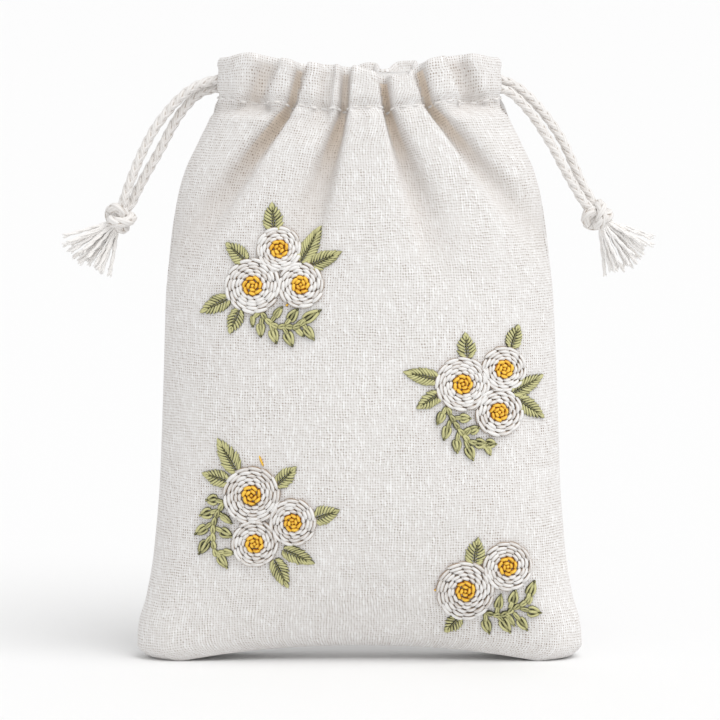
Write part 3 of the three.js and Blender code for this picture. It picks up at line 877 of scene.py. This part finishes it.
def furrows(x, y, z):
    """How far the cloth is drawn in by the running stitch, at the slits and at the seams.

    Each is a bell curve round its line; the puckers are a cosine that dies away from the stitch line.
    """
    stitched = PUCKER_DEPTH * np.exp(-((z - STITCH_Z) / PUCKER_REACH) ** 2)
    pucker = np.cos(2 * np.pi * x / PUCKER_SPACING) * np.exp(-np.abs(z - STITCH_Z) / PUCKER_SPACING)
    low, start, stop, high = SLIT_HEIGHTS
    slit = smoothstep(z, low, start) * (1 - smoothstep(z, stop, high))
    pinch = SLIT_PINCH * slit * np.exp(-(y / SLIT_REACH) ** 2)
    seam = SEAM_DEPTH * np.exp(-(y / SEAM_REACH) ** 2) * smoothstep(z, *SEAM_START)
    return stitched + PUCKER_SIZE * pucker + pinch + seam


def ripples(x, z):
    """Slow crossing waves of x and z, which fade out near the floor and below the casing."""
    body = smoothstep(z, *RIPPLE_START) * (1 - smoothstep(z, *RIPPLE_END))
    long_wave = np.sin(x / 8.5 + z / 37) * np.sin(z / 26 + 0.8)
    return body * (LONG_RIPPLE * long_wave + SHORT_RIPPLE * np.sin(x / 5.3 - z / 21))


# %% [markdown]
# The rim isn't level. Its front dips most to the right of the middle and its back to the left, its outer
# corners are rounded, and every deep fold pulls the casing down. Each row of the table gives an x and how
# far the rim dips there in front and behind.

# %% The wall as one function of the way round and the height
FLOOR_SHARE = 0.877
ARCH_POWER = 2.4
FOLD_PULL = 0.36
RIM_RELEASE = 0.5
RIM_CORNER = 1.3
CORNER_REACH = (31, 39.5)
CORNER_FROM = 160
RIM_DIPS = np.array([
    (-39, 0, 0), (-30, -0.8, 0.5), (-22, 0, 2), (-12, 0.2, 2.4), (-3, 0.6, 2.6), (2.4, 2.2, 1),
    (8, 3.6, 1.2), (12, 4.5, 0.6), (14, 4, 0.7), (15.5, 2, 0.8), (17, 0.4, 1), (20, -0.2, 1.5),
    (29, -0.6, 0.5), (39, 0, 0)])


def underside_arch(x, half_width):
    """1 at the lifted middle of the lower edge, 0 where the cloth meets the floor: 1 - |x / reach|^2.4."""
    return 1 - np.minimum(1, np.abs(x / (FLOOR_SHARE * half_width)) ** ARCH_POWER)


def rim_drop(x, z, facing):
    """How far the casing lies below its line: the table's dip for that side, and the rounded corners."""
    column = 1 if facing < 0 else 2
    dip = monotone(np.clip(x, RIM_DIPS[0, 0], RIM_DIPS[-1, 0]), RIM_DIPS[:, 0], RIM_DIPS[:, column])
    corner = RIM_CORNER * smoothstep(np.abs(x), *CORNER_REACH) * smoothstep(z, CORNER_FROM, RIM_Z)
    return dip * smoothstep(z, STITCH_Z, RIM_Z) + corner


def wall(folds, facing, turn, z):
    """Points of the cloth's outer face, for arrays of turns and heights.

    The outline's point moves against its outward direction by the valley depth and the small
    furrows, and up by the arch of the underside, or down by the sag of the casing. The same arch
    draws the outline in towards the lower edge.
    """
    level = level_at(z)
    half_width, half_depth, squareness = (level[name] for name in LEVEL_COLUMNS[1:4])
    x, y = rounded_outline(half_width, half_depth, squareness, turn)
    slope_x = np.sign(x) * (np.abs(x) / half_width) ** (squareness - 1) / half_width
    slope_y = (y / half_depth) ** (squareness - 1) / half_depth
    size = np.hypot(slope_x, slope_y)
    valley = level["gather"] * valley_depth(folds, x, z)
    inward = valley + furrows(x, y, z) - ripples(x, z)
    arch = underside_arch(x, half_width)
    y = y * (1 - level["pinch"] * arch)
    pull = FOLD_PULL * (1 - RIM_RELEASE * smoothstep(z, STITCH_Z, RIM_Z))
    sag = level["drop"] * (casing_sag(x) - pull * valley)
    height = z + level["lift"] * arch + sag - rim_drop(x, z, facing)
    return np.stack([x - inward * slope_x / size, facing * (y - inward * slope_y / size), height], -1)


# %% [markdown]
# The columns of the bag's grid are its threads, so they must lie at even distances along the cloth. For
# every height at once, the wall is measured along many fine turns, and the running length is read
# backwards: at which turn has each even share of the length been covered?

# %% Even columns round the bag
HALF_COLUMNS = 170
FINE_TURNS = np.linspace(0, np.pi, 900)
LOW_ROWS_END = 9
ROW_SHARE = 0.999999
FINE_SHARE = 0.9999995
low_rows = LOW_ROWS_END * np.linspace(0, 1, 9)[:-1] ** 2
row_heights = np.r_[low_rows, np.linspace(LOW_ROWS_END, WALL_TOP, 176)]


def even_half(point_at, heights):
    """Rows of evenly spaced points from the left seam to the right one, for all the heights.

    One interpolation serves all rows: row k counts from k to just under k + 1, so no two rows meet.
    """
    turn, z = np.meshgrid(FINE_TURNS, heights)
    fine = point_at(turn, z)
    length = np.linalg.norm(np.diff(fine, axis=1), axis=-1).cumsum(1)
    share = np.concatenate([np.zeros((len(heights), 1)), length / length[:, -1:]], 1)
    row = np.arange(len(heights))[:, None]
    wanted = row + np.linspace(0, 1, HALF_COLUMNS + 1) * ROW_SHARE
    even = np.interp(wanted.ravel(), (row + share * FINE_SHARE).ravel(), np.tile(FINE_TURNS, len(heights)))
    turn = even.reshape(len(heights), -1)
    turn[:, 0], turn[:, -1] = 0, np.pi
    return point_at(turn, np.repeat(np.asarray(heights)[:, None], HALF_COLUMNS + 1, 1))


def ring_of(front, back):
    """One closed ring for each row: the front from left to right, then the back from right to left."""
    return np.concatenate([front, back[:, -2:0:-1]], 1)


outside = ring_of(
    even_half(lambda turn, z: wall(FRONT_FOLDS, -1, turn, z), row_heights),
    even_half(lambda turn, z: wall(BACK_FOLDS, 1, turn, z), row_heights))
girth = np.linalg.norm(np.diff(outside, axis=1, append=outside[:, :1]), axis=-1).sum(1)
print(f"girth {girth.min():.0f} to {girth.max():.0f} mm, top {outside[..., 2].max():.1f} mm")

# %% [markdown]
# At the top the cloth folds over: a narrow rounded edge, then the inner layer, which runs in to the
# ring where the cords lie and down to the stitch line. Below it the inside of the wall is the outside
# moved in by the cloth's thickness. Rows that shrink to the bottom line close the bag. The rounded edge
# follows the directions of its neighbours too, so that it doesn't cross itself on a narrow ridge.

# %% The rim and the casing's inner layer
CLOTH = 1.2
RIM_RADIUS = 1.1
RIM_RISE = 2.3
RIM_NEIGHBOURS = 8
RIM_EVENNESS = 1.5
INNER_HALF_WIDTH = 30.6
INNER_HALF_DEPTH = 5.9
INNER_SQUARENESS = 2.1
INNER_TOP = 165.9
INNER_RIPPLE = 0.15
INNER_SPACING = 6.4
FUNNEL_BEND = 0.7


def grid_normals(rows):
    """Outward directions: the change round each row crossed with the change from row to row."""
    around = np.roll(rows, -1, 1) - np.roll(rows, 1, 1)
    return unit(np.cross(around, np.gradient(rows, axis=0)))


def inner_layer(turn, z):
    """The casing's inner layer: a ring at each height with the casing's sag, rippled by 1 + a cos(x)."""
    x, y = rounded_outline(INNER_HALF_WIDTH - CLOTH, INNER_HALF_DEPTH - CLOTH, INNER_SQUARENESS, turn)
    y = y * (1 + INNER_RIPPLE * np.cos(2 * np.pi * x / INNER_SPACING))
    return np.stack([x, y, z + casing_sag(x)], -1)


normals = grid_normals(outside)
flat_out = unit(normals[-1] * [1, 1, 0])
evened = unit(sum(np.roll(flat_out, k, 0) for k in range(-RIM_NEIGHBOURS, RIM_NEIGHBOURS + 1)))
flat_out = unit(flat_out + RIM_EVENNESS * evened)
bend = np.linspace(0, np.pi, 9)[1:, None, None]
rim = outside[-1] - RIM_RADIUS * (1 - np.cos(bend)) * flat_out + RIM_RISE * np.sin(bend) * UPWARDS
half_layer = even_half(inner_layer, np.linspace(INNER_TOP, STITCH_Z, 9))
inner = ring_of(half_layer * [1, -1, 1], half_layer)
share = np.linspace(0, 1, 8)[1:-1, None, None]
funnel = rim[-1] + (inner[0] - rim[-1]) * share
funnel[..., 2] = rim[-1][:, 2] + (inner[0] - rim[-1])[:, 2] * share[..., 0] ** FUNNEL_BEND
print(f"rim from {rim[..., 2].min():.1f} to {rim[..., 2].max():.1f} mm")

# %% The whole cloth as one closed grid
INSIDE_BELOW = 3
INSIDE_STRIDE = 6
THREAD_PITCH = 0.74
FOLD_SHADE_DEPTH = 8.5
FOLD_SHADE_MOST = 0.72

below = row_heights < STITCH_Z - INSIDE_BELOW
inside = (outside - CLOTH * normals)[below][::-INSIDE_STRIDE]
shrink = np.linspace(1, 0, 5)[1:, None, None] * [0, 1, 0] + [1, 0, 1]
underside = outside[0] * shrink[::-1]
inner_floor = inside[-1] * shrink
bag_rows = np.concatenate([underside, outside, rim, funnel, inner, inside, inner_floor])

row_steps = np.linalg.norm(np.diff(bag_rows, axis=0), axis=-1).mean(1)
thread_rows = np.r_[0, np.cumsum(row_steps)] / THREAD_PITCH
thread_columns = np.arange(2 * HALF_COLUMNS + 1) * np.median(girth) / (2 * HALF_COLUMNS) / THREAD_PITCH
valleys = [valley_depth(folds, outside[..., 0], row_heights[:, None]) for folds in (FRONT_FOLDS, BACK_FOLDS)]
on_front_half = np.arange(2 * HALF_COLUMNS) <= HALF_COLUMNS
gather = level_at(row_heights)["gather"][:, None]
# The tint of the outer rows is painted shade, which grows with the depth of the folds.
fold_shade = np.zeros(bag_rows.shape[:2])
fold_shade[len(underside):len(underside) + len(outside)] = np.minimum(
    gather * np.where(on_front_half, *valleys) / FOLD_SHADE_DEPTH, FOLD_SHADE_MOST)
bag = add_piece(
    "pouch_cloth", bag_rows[None], linen, tint=fold_shade, replaced=["pouch_body"],
    uv=lambda rows, columns: (thread_columns[columns], thread_rows[rows]))

# %% [markdown]
# ## Sewing on the cloth
# A stitch lies on the cloth like a grain of rice: full in the middle, thin where it goes down at both
# ends. To place it, a pixel of the photograph is followed along its line of sight to the front wall.
# One function then makes all the stitches of a piece at once from their middle lines.

# %% From a pixel to the cloth
LIFT_ROUNDS = 4
SIGHT_ROUNDS = 6
FIRST_GUESS = -22
SLOPE_REACH = 0.6


def front_depth(x, z):
    """The y of the front wall over (x, z): the outline solved for y, with the arch, pinch and valleys."""
    height = z
    for _ in range(LIFT_ROUNDS):
        level = level_at(np.clip(height, 0, WALL_TOP))
        arch = underside_arch(x, level["half_width"])
        height = z - level["lift"] * arch
    inside_share = np.clip(1 - np.abs(x / level["half_width"]) ** level["squareness"], 0, 1)
    bulge = level["half_depth"] * inside_share ** (1 / level["squareness"]) * (1 - level["pinch"] * arch)
    return level["gather"] * valley_depth(FRONT_FOLDS, x, height) - ripples(x, height) - bulge


def on_front(pixels):
    """Points of the front wall seen at the pixels: the sight lines are cut with it, closer each round."""
    right = (pixels[..., 0] - half_frame) / focal_pixels
    up = (half_frame - pixels[..., 1]) / focal_pixels
    ray = sight + right[..., None] * np.array([1, 0, 0]) + up[..., None] * above
    y = np.full(pixels.shape[:-1], float(FIRST_GUESS))
    for _ in range(SIGHT_ROUNDS):
        point = eye + ray * ((y - eye[1]) / ray[..., 1])[..., None]
        y = front_depth(point[..., 0], point[..., 2])
    return point


def front_normal(points):
    """Outward direction of the front wall, from its slopes over a short reach."""
    x, z = points[..., 0], points[..., 2]
    slope_x = (front_depth(x + SLOPE_REACH, z) - front_depth(x - SLOPE_REACH, z)) / (2 * SLOPE_REACH)
    slope_z = (front_depth(x, z + SLOPE_REACH) - front_depth(x, z - SLOPE_REACH)) / (2 * SLOPE_REACH)
    return unit(np.stack([slope_x, -np.ones_like(x), slope_z], -1))


# %% Stitches round their middle lines
STITCH_STEPS = 7
STITCH_SIDES = 8
STITCH_TAPER = 0.7
STITCH_RISE = 0.42
PIXEL = 1 / PIXELS_PER_MM
stitch_share = np.linspace(0, 1, STITCH_STEPS)


def stitch_grids(lines, normal, width, height, sink=0.2, tilt=0.0, blunt=2.4):
    """Stitches round their middle lines, from the shape (copies, steps, 3).

    Their fullness at the share a is (1 - |2a - 1|^blunt)^0.7. The section is an ellipse of the width
    and the height; its middle rises to 0.42 of the height, plus the tilt towards the far end, and at
    both ends it goes under the cloth.
    """
    share = stitch_share[None, :, None, None]
    full = np.clip(1 - np.abs(2 * share - 1) ** blunt, 0, 1) ** STITCH_TAPER
    along = unit(np.gradient(lines, axis=1))
    across = unit(np.cross(normal, along))[:, :, None]
    width, height = (np.broadcast_to(size, len(lines))[:, None, None, None] for size in (width, height))
    turn = turns(STITCH_SIDES)
    rise = height * (STITCH_RISE * full - sink * (1 - full)) + tilt * share
    lifted = (height / 2 * full * np.sin(turn) + rise) * normal[:, :, None]
    return lines[:, :, None] + width / 2 * full * np.cos(turn) * across + lifted


def sewn(pixel_lines, width, height, **shape):
    """Stitch grids from middle lines and a width in pixels, with the height in millimetres."""
    lines = on_front(pixel_lines)
    return stitch_grids(lines, front_normal(lines), width * PIXEL, height, **shape)


# %% [markdown]
# ## Roses
# Each rose is worked in back stitch, ring after ring: long white stitches outside, shorter ones inside,
# and golden rings in the middle. Every stitch is a short arc that also slants inwards, so its end
# slips under the next one, and each ring starts at its own place, so the joints don't line up.

# %% Places and rings of the roses
ROSES = np.array([
    (253, 286, 27, 10), (279, 249, 22, 9.2), (301, 285, 22.5, 9.2),
    (462, 384, 26.5, 10), (503, 369, 22, 9.2), (498, 412, 23.5, 9.2),
    (252, 495, 28, 10), (293, 522, 23, 9), (255, 543, 23, 9.2),
    (465, 590, 28.5, 10.2), (507, 566, 24, 9.4)])
RING_PIXELS = 3.5
PETAL_PIXELS = 4.6
PETAL_SLANT = 2.2
PETAL_OVERLAP = 0.72
PETAL_TIPS = 1.0
LONG_STITCH = 18
SHORT_STITCH = 10
FEWEST_PETALS = 7


def ring_lines(centre, radius, count, start, span, slant, rng):
    """Middle lines of one ring: arcs of the span round the centre whose radius falls by the slant."""
    middle = start + 2 * np.pi * (np.arange(count) + rng.uniform(-0.06, 0.06, count)) / count
    spans = span * rng.uniform(0.92, 1.06, count)
    angle = middle[:, None] + spans[:, None] * (stitch_share - 0.5)
    reach = radius + slant * (0.5 - stitch_share) + rng.normal(0, 0.2, (count, 1))
    return centre + np.stack([np.cos(angle), np.sin(angle)], -1) * reach[..., None]


def rose_lines(x, y, outer, heart, rng):
    """White rings from the rim to the heart, with long stitches outside and short ones inside."""
    rings = round((outer - heart) / RING_PIXELS)
    lines = []
    for k in range(rings):
        radius = outer - PETAL_PIXELS / 2 + PETAL_TIPS - k * (outer - heart) / rings
        stitch = LONG_STITCH - (LONG_STITCH - SHORT_STITCH) * k / max(rings - 1, 1)
        count = max(FEWEST_PETALS, round(2 * np.pi * radius / (stitch * PETAL_OVERLAP)))
        start = rng.uniform(0, 2 * np.pi)
        lines.append(ring_lines(np.array([x, y]), radius, count, start, stitch / radius, PETAL_SLANT, rng))
    return np.concatenate(lines)


# %% Golden hearts, and both pieces
HEART_SHARE = 1.08
HEART_RINGS = ((0.74, 7, 1.25, 2.8), (0.36, 4, 2.0, 2.0))
DOT_SIZE = 0.35
HEART_PIXELS = 4.2
PETAL_HEIGHT = 1.08
HEART_HEIGHT = 1.35
SEWING_SEED = 21


def heart_lines(x, y, heart, rng):
    """The golden middle: a ring of seven slanted stitches, a ring of four, and a dot in the centre."""
    centre = np.array([x, y])
    heart = heart * HEART_SHARE
    rings = [ring_lines(centre, heart * share, count, rng.uniform(0, 2 * np.pi), span, slant, rng)
             for share, count, span, slant in HEART_RINGS]
    dot = centre + (stitch_share[:, None] - 0.5) * heart * DOT_SIZE * [1, 0.6]
    return np.concatenate([*rings, dot[None]])


# The deep brown and deep amber are painted shade on the flanks of the stitches and in the grooves of the
# plies.
white_thread = thread_material(
    "white_thread", deep=(0.30, 0.205, 0.13), pale=(0.87, 0.86, 0.845), plies=4, slant=1.2,
    roughness=0.6, sheen=0.2, flank_shade=1.0, edge=5)
yellow_thread = thread_material(
    "yellow_thread", deep=(0.42, 0.12, 0.0), pale=(1.0, 0.63, 0.08), plies=4, slant=1.2,
    roughness=0.5, sheen=0.0, flank_shade=0.85, edge=3)
rng = np.random.default_rng(SEWING_SEED)
petals = np.concatenate([rose_lines(*row, rng) for row in ROSES])
hearts = np.concatenate([heart_lines(x, y, heart, rng) for x, y, _, heart in ROSES])
petal_width = PETAL_PIXELS * rng.uniform(0.9, 1.06, len(petals))
add_piece("rose_petals", sewn(petals, petal_width, PETAL_HEIGHT, tilt=0.25), white_thread,
          tint=rng.uniform(0, 1, len(petals)))
add_piece("rose_hearts", sewn(hearts, HEART_PIXELS, HEART_HEIGHT, tilt=0.3), yellow_thread,
          tint=rng.uniform(0, 1, len(hearts)))

# %% [markdown]
# ## Leaves
# The leaves are fishbone stitch: slanted stitches run from the edges to a middle line, left and right by
# turns, and close up towards the tip. The outline of a leaf is a formula of the share of its length. Each
# row below gives the leaf's tip, its base and its width in pixels.

# %% Fishbone leaves
LEAVES = np.array([
    (272, 203, 274, 229, 19), (226.5, 243, 245, 260, 17), (321, 227, 302, 260, 17),
    (341, 252, 311, 265.5, 16), (201, 312, 228, 299, 17), (230, 333, 239, 311, 15),
    (465, 333, 467, 356, 18), (518, 325, 511, 346, 15), (404, 372, 436, 379, 16), (417, 408, 438, 395, 15),
    (542, 375, 514, 392, 16), (543, 417, 519, 400, 16),
    (218, 439, 236, 470, 18), (203, 473, 227, 481, 16), (296, 467, 278, 484, 16), (339, 510, 316, 518, 18),
    (314, 563, 285, 550, 16), (288, 587, 275, 561, 17),
    (478, 538, 474, 563, 19), (445, 631, 459, 617, 15)])
LEAF_STITCH_PIXELS = 3.4
LEAF_THREAD = 3.2
VEIN_THREAD = 1.8
LEAF_HEIGHT = 0.9
VEIN_HEIGHT = 0.5
# The vein stitch is real, but its dark tint is painted shade along the leaf's middle line.
VEIN_SHADE = -0.8
LEAF_FULLNESS = 1.08
LEAF_TUCK = 0.06
LEAF_BOW = 0.9
VEIN_RANGE = (-0.20, 0.82)
EDGE_AHEAD = 0.28
TIP_AND_VEIN = np.array([(0.78, 1.05), (-0.05, 0.85)])


def straight(start, end):
    """Middle lines straight from each start to its end."""
    return start[:, None] + (end - start)[:, None] * stitch_share[None, :, None]


def leaf_lines(tip_x, tip_y, base_x, base_y, width, rng):
    """Stitches from the vein at the share s to the edge at s + 0.28, where the half width is
    width / 2 sin(pi s^0.75)^0.65; then one at the tip and the vein itself. The base is tucked under."""
    tip, base = np.array([tip_x, tip_y]), np.array([base_x, base_y])
    base = base - LEAF_TUCK * (tip - base)
    axis = tip - base
    length = np.hypot(*axis)
    aside = np.array([-axis[1], axis[0]]) / length
    count = round(length / LEAF_STITCH_PIXELS) + 2
    vein = np.linspace(*VEIN_RANGE, count)
    edge = np.clip(vein + EDGE_AHEAD, 0, 1)
    half = LEAF_FULLNESS * width / 2 * np.sin(np.pi * edge ** 0.75) ** 0.65
    lines = []
    for hand in (1, -1):
        start = base + axis * np.clip(vein, 0, 1)[:, None] + hand * aside * 0.1
        end = base + axis * edge[:, None] + hand * aside * half[:, None] * rng.uniform(0.9, 1.12, (count, 1))
        bow = hand * aside * LEAF_BOW * np.sin(np.pi * stitch_share)[None, :, None]
        lines.append(straight(start, end) + bow)
    first, last = (base + axis * share[:, None] for share in TIP_AND_VEIN.T)
    return np.concatenate([*lines, straight(first, last)])


# The near-black deep green is painted shade on the flanks of the stitches and in the grooves of the plies.
green_thread = thread_material(
    "green_thread", deep=(0.03, 0.027, 0.003), pale=(0.62, 0.60, 0.295), plies=4, slant=1.2,
    roughness=0.6, sheen=0.15, flank_shade=0.9, edge=3)
leaves = [leaf_lines(*row, rng) for row in LEAVES]
is_vein = np.concatenate([np.arange(len(leaf)) == len(leaf) - 1 for leaf in leaves])
leaves = np.concatenate(leaves)
leaf_width = np.where(is_vein, VEIN_THREAD, LEAF_THREAD)
leaf_height = np.where(is_vein, VEIN_HEIGHT, LEAF_HEIGHT)
# The veins get the dark tint of painted shade.
add_piece("leaves", sewn(leaves, leaf_width, leaf_height), green_thread,
          tint=np.where(is_vein, VEIN_SHADE, rng.uniform(0, 1, len(leaves))))

# %% [markdown]
# ## Sprigs
# Beside the roses hang small sprigs: a stem in chain stitch with detached chain leaves on short stalks.
# Two bowed stitches make a link of the stem or the blade of a leaf, a darker one fills the blade's middle,
# a short dark one catches its tip, and a narrow link ties its base to the stem, where the leaf points back.

# %% Places of the stems, and of the chain leaves by base, tip and width
STEMS = [
    [(262, 312), (266, 319), (272, 324), (278, 327), (283, 326), (289, 327), (295, 327), (301, 325),
     (306, 321)],
    [(447, 407), (450, 415), (454, 422), (459, 430), (463, 435), (467, 440), (476, 443.5)],
    [(224, 503), (219, 511), (215, 520), (213.5, 528), (213.5, 537), (214, 546), (217, 556)],
    [(486, 611.5), (492, 613.5), (499, 614.5), (505, 613.5), (511, 609.5), (517, 606), (526, 601.5)]]
SPRIG_LEAVES = np.array([
    (253, 316, 253, 327, 5), (261, 324, 261, 337, 8), (272.5, 330, 276.8, 343.5, 9),
    (287, 333, 292.8, 346.5, 9.5), (306, 328, 314.3, 340, 8.5), (275, 316.5, 282.6, 306.5, 7),
    (289.5, 320, 298.4, 308.5, 9), (304.5, 320, 321, 310, 9.5), (297, 329, 304, 336.5, 5),
    (442.5, 413, 437, 424.5, 8), (447.5, 427, 443.5, 440, 8.5), (456, 440, 457, 453, 8.5),
    (467.5, 447, 472.8, 460.2, 9), (460, 418, 470.5, 418.3, 8.5), (464, 433, 471.5, 427.5, 6.5),
    (470, 431, 479, 427.2, 8.5), (475.5, 442.5, 486.5, 444.5, 9.5), (486, 443, 496, 444, 9),
    (486, 446, 490, 455, 6),
    (217, 499.3, 206.5, 500, 10), (211.5, 512, 200.2, 515.2, 10), (206.5, 527, 195.5, 534, 9),
    (207, 541.5, 199.5, 554, 9.5), (222, 515, 232.3, 523.3, 6.5), (221.5, 530.5, 232.5, 536.5, 9.5),
    (224, 551.5, 234, 553, 7), (219.8, 556, 227.6, 568, 8.5),
    (485, 620, 489.6, 633, 9), (502, 619, 510.4, 632.2, 9.5), (508.5, 615.5, 514.5, 625.5, 5.5),
    (519, 618.5, 527.3, 630, 8.5), (528, 610.5, 540.7, 612.6, 10), (526, 602.5, 531.5, 594.5, 7),
    (528.5, 594, 534.2, 580.6, 9), (511.8, 602.5, 515.4, 589.5, 9), (497.5, 607.5, 500.9, 594, 8)])
print(len(STEMS), "stems,", len(SPRIG_LEAVES), "chain leaves")

# %% Links of a chain
LINK_PIXELS = 8
LINK_BOW = 1.5
LINK_SWELL = 1.4
LINK_LAP = 0.15
FEWEST_LINKS = 3
STEM_STEP = 0.5


def chain_links(start, end, bow, swell):
    """Two stitches for each link, bowed to either side by the bow times sin(pi a^swell)."""
    line = straight(start, end)
    axis = unit(end - start)
    aside = np.stack([-axis[:, 1], axis[:, 0]], -1)[:, None]
    apart = np.reshape(bow, (-1, 1, 1)) * np.sin(np.pi * stitch_share ** swell)[None, :, None] * aside
    return np.concatenate([line + apart, line - apart])


def stem_links(points):
    """Drop-shaped links in a row along a smooth line, each starting inside the one before it."""
    stem = smooth_path(np.array([(x, y, 0.0) for x, y in points]), STEM_STEP)[:, :2]
    count = max(FEWEST_LINKS, round(len(stem) * STEM_STEP / LINK_PIXELS))
    place = np.linspace(0, len(stem) - 1, count + 1).astype(int)
    lap = LINK_LAP * np.diff(stem[place], axis=0)
    return chain_links(stem[place[:-1]] - lap, stem[place[1:]] + lap, LINK_BOW, LINK_SWELL)


# %% Stems, stalks and chain leaves
BLADE_FULLNESS = 1.25
BLADE_BACK = 0.14
BLADE_SWELL = 0.62
BLADE_THREAD = 3.6
STALK_BACK = 0.6
STALK_END = 0.2
STALK_BOW = 1.1
MIDDLE_SPAN = (0.05, 0.88)
CATCH_SPAN = (0.84, 1.06)
SPRIG_BLUNT = 3.2
# The rows are stems, stalks, blades, catches and middles: width in pixels, height in mm, darker by.
SPRIG_THREADS = np.array([
    (3.6, 1.1, 0.1), (3.1, 0.9, 0.1), (BLADE_THREAD, 1.1, 0), (2.6, 1.2, 0.9), (4.6, 0.95, 0.3)])

stems = np.concatenate([stem_links(points) for points in STEMS])
base, tip, broad = SPRIG_LEAVES[:, :2], SPRIG_LEAVES[:, 2:4], SPRIG_LEAVES[:, 4]
stem_points = stems.reshape(-1, 2)
behind = base - STALK_BACK * (tip - base)
nearest = stem_points[np.linalg.norm(behind[:, None] - stem_points, axis=-1).argmin(1)]
stalks = chain_links(nearest, base + STALK_END * (tip - base), STALK_BOW, 1)
base = base - BLADE_BACK * (tip - base)
blades = chain_links(base, tip, (BLADE_FULLNESS * broad - BLADE_THREAD) / 2, BLADE_SWELL)
middles, catches = (straight(base + first * (tip - base), base + last * (tip - base))
                    for first, last in (MIDDLE_SPAN, CATCH_SPAN))
sprig_parts = (stems, stalks, blades, catches, middles)
width, height, darker = np.repeat(SPRIG_THREADS, [len(part) for part in sprig_parts], axis=0).T
sprig_tint = rng.uniform(-0.3, 1.1, len(width)) - darker
add_piece("sprigs", sewn(np.concatenate(sprig_parts), width, height, blunt=SPRIG_BLUNT),
          green_thread, tint=sprig_tint)

# %% [markdown]
# ## Running stitch and loose ends
# The casing is closed by a running stitch all the way round, in a thread close to the cloth's colour.
# It is taken from the bag's own grid at the stitch line, so it follows every fold. A few yellow ends
# were left on the front by the sewing.

# %% Running stitch round the casing
RUNNING_STITCHES = 74
STITCH_START = 0.2
STITCH_ON_TOP = 0.68
RUNNING_WIDTH = 0.62
RUNNING_HEIGHT = 0.7
RUNNING_SEED = 5

stitch_row = int(np.abs(row_heights - STITCH_Z).argmin())
around = np.arange(2 * HALF_COLUMNS + 1)
stitch_place = np.arange(RUNNING_STITCHES)[:, None] + STITCH_START + STITCH_ON_TOP * stitch_share
stitch_column = stitch_place / RUNNING_STITCHES * 2 * HALF_COLUMNS


def on_row(values):
    """Values of the stitch row at fractional columns."""
    closed = np.vstack([values, values[:1]])
    return np.stack([np.interp(stitch_column, around, axis) for axis in closed.T], -1)


running_stitches = stitch_grids(
    on_row(outside[stitch_row]), unit(on_row(normals[stitch_row])), RUNNING_WIDTH, RUNNING_HEIGHT, sink=0.3)
add_piece("running_stitch", running_stitches, cotton_yarn,
          tint=np.random.default_rng(RUNNING_SEED).uniform(0, 0.6, RUNNING_STITCHES))

# %% Loose yellow ends, from one pixel to another
YELLOW_ENDS = np.array([
    (259, 455, 263.8, 467), (285.6, 306.4, 288.6, 303.6), (434, 590.5, 437, 588.5)])
YELLOW_TINTS = np.array([0.9, 0.8, 0.7])
END_PIXELS = 2.4
END_HEIGHT = 0.6

ends = straight(YELLOW_ENDS[:, :2], YELLOW_ENDS[:, 2:])
add_piece("yellow_ends", sewn(ends, END_PIXELS, END_HEIGHT), yellow_thread,
          tint=YELLOW_TINTS)

# %% [markdown]
# ## Floor and light
# The pouch stands on a plain pale floor in a bright room. One wide soft light from the upper right, as from
# a window, gives the folds their shape and throws the shadow to the left; the bright room fills it. Beyond
# the floor the camera sees plain white.

# %% The floor
FLOOR_HALF = 40000
FLOOR_GREY = 0.885

corners = np.array([[-1, -1, 0], [1, -1, 0], [1, 1, 0], [-1, 1, 0]]) * FLOOR_HALF * MM
floor_mesh = bpy.data.meshes.new("floor")
floor_mesh.from_pydata(corners.tolist(), [], [(0, 1, 2, 3)])
floor_material, _, floor_shader = start_material("pale_floor", 0.9, 0.0)
floor_shader.inputs["Base Color"].default_value = (FLOOR_GREY, FLOOR_GREY, FLOOR_GREY, 1.0)
floor_mesh.materials.append(floor_material)
floor = put_in_scene("floor", floor_mesh)
print("floor from", corners[0], "to", corners[2])

# %% The room and the window
ROOM_LIGHT = 0.70
WINDOW_LIGHT = 1.6
WINDOW_ANGLE = 45
WINDOW_HEIGHT = 57
WINDOW_TURN = 41

world = bpy.data.worlds.new("room")
bpy.context.scene.world = world
world.use_nodes = True
backdrop = world.node_tree.nodes["Background"]
seen = wire(world.node_tree, "ShaderNodeLightPath")
strength = weighted_sum(world.node_tree, ROOM_LIGHT, (seen, 1 - ROOM_LIGHT))
world.node_tree.links.new(strength, backdrop.inputs["Strength"])
backdrop.inputs["Color"].default_value = (1.0, 1.0, 1.0, 1.0)

sky = bpy.data.lights.new("window", "SUN")
sky.energy = WINDOW_LIGHT
sky.angle = math.radians(WINDOW_ANGLE)
window = put_in_scene("window", sky)
window.rotation_euler = (math.radians(90 - WINDOW_HEIGHT), 0, math.radians(WINDOW_TURN))
print(f"window light {sky.energy:.1f}, room light {ROOM_LIGHT}")
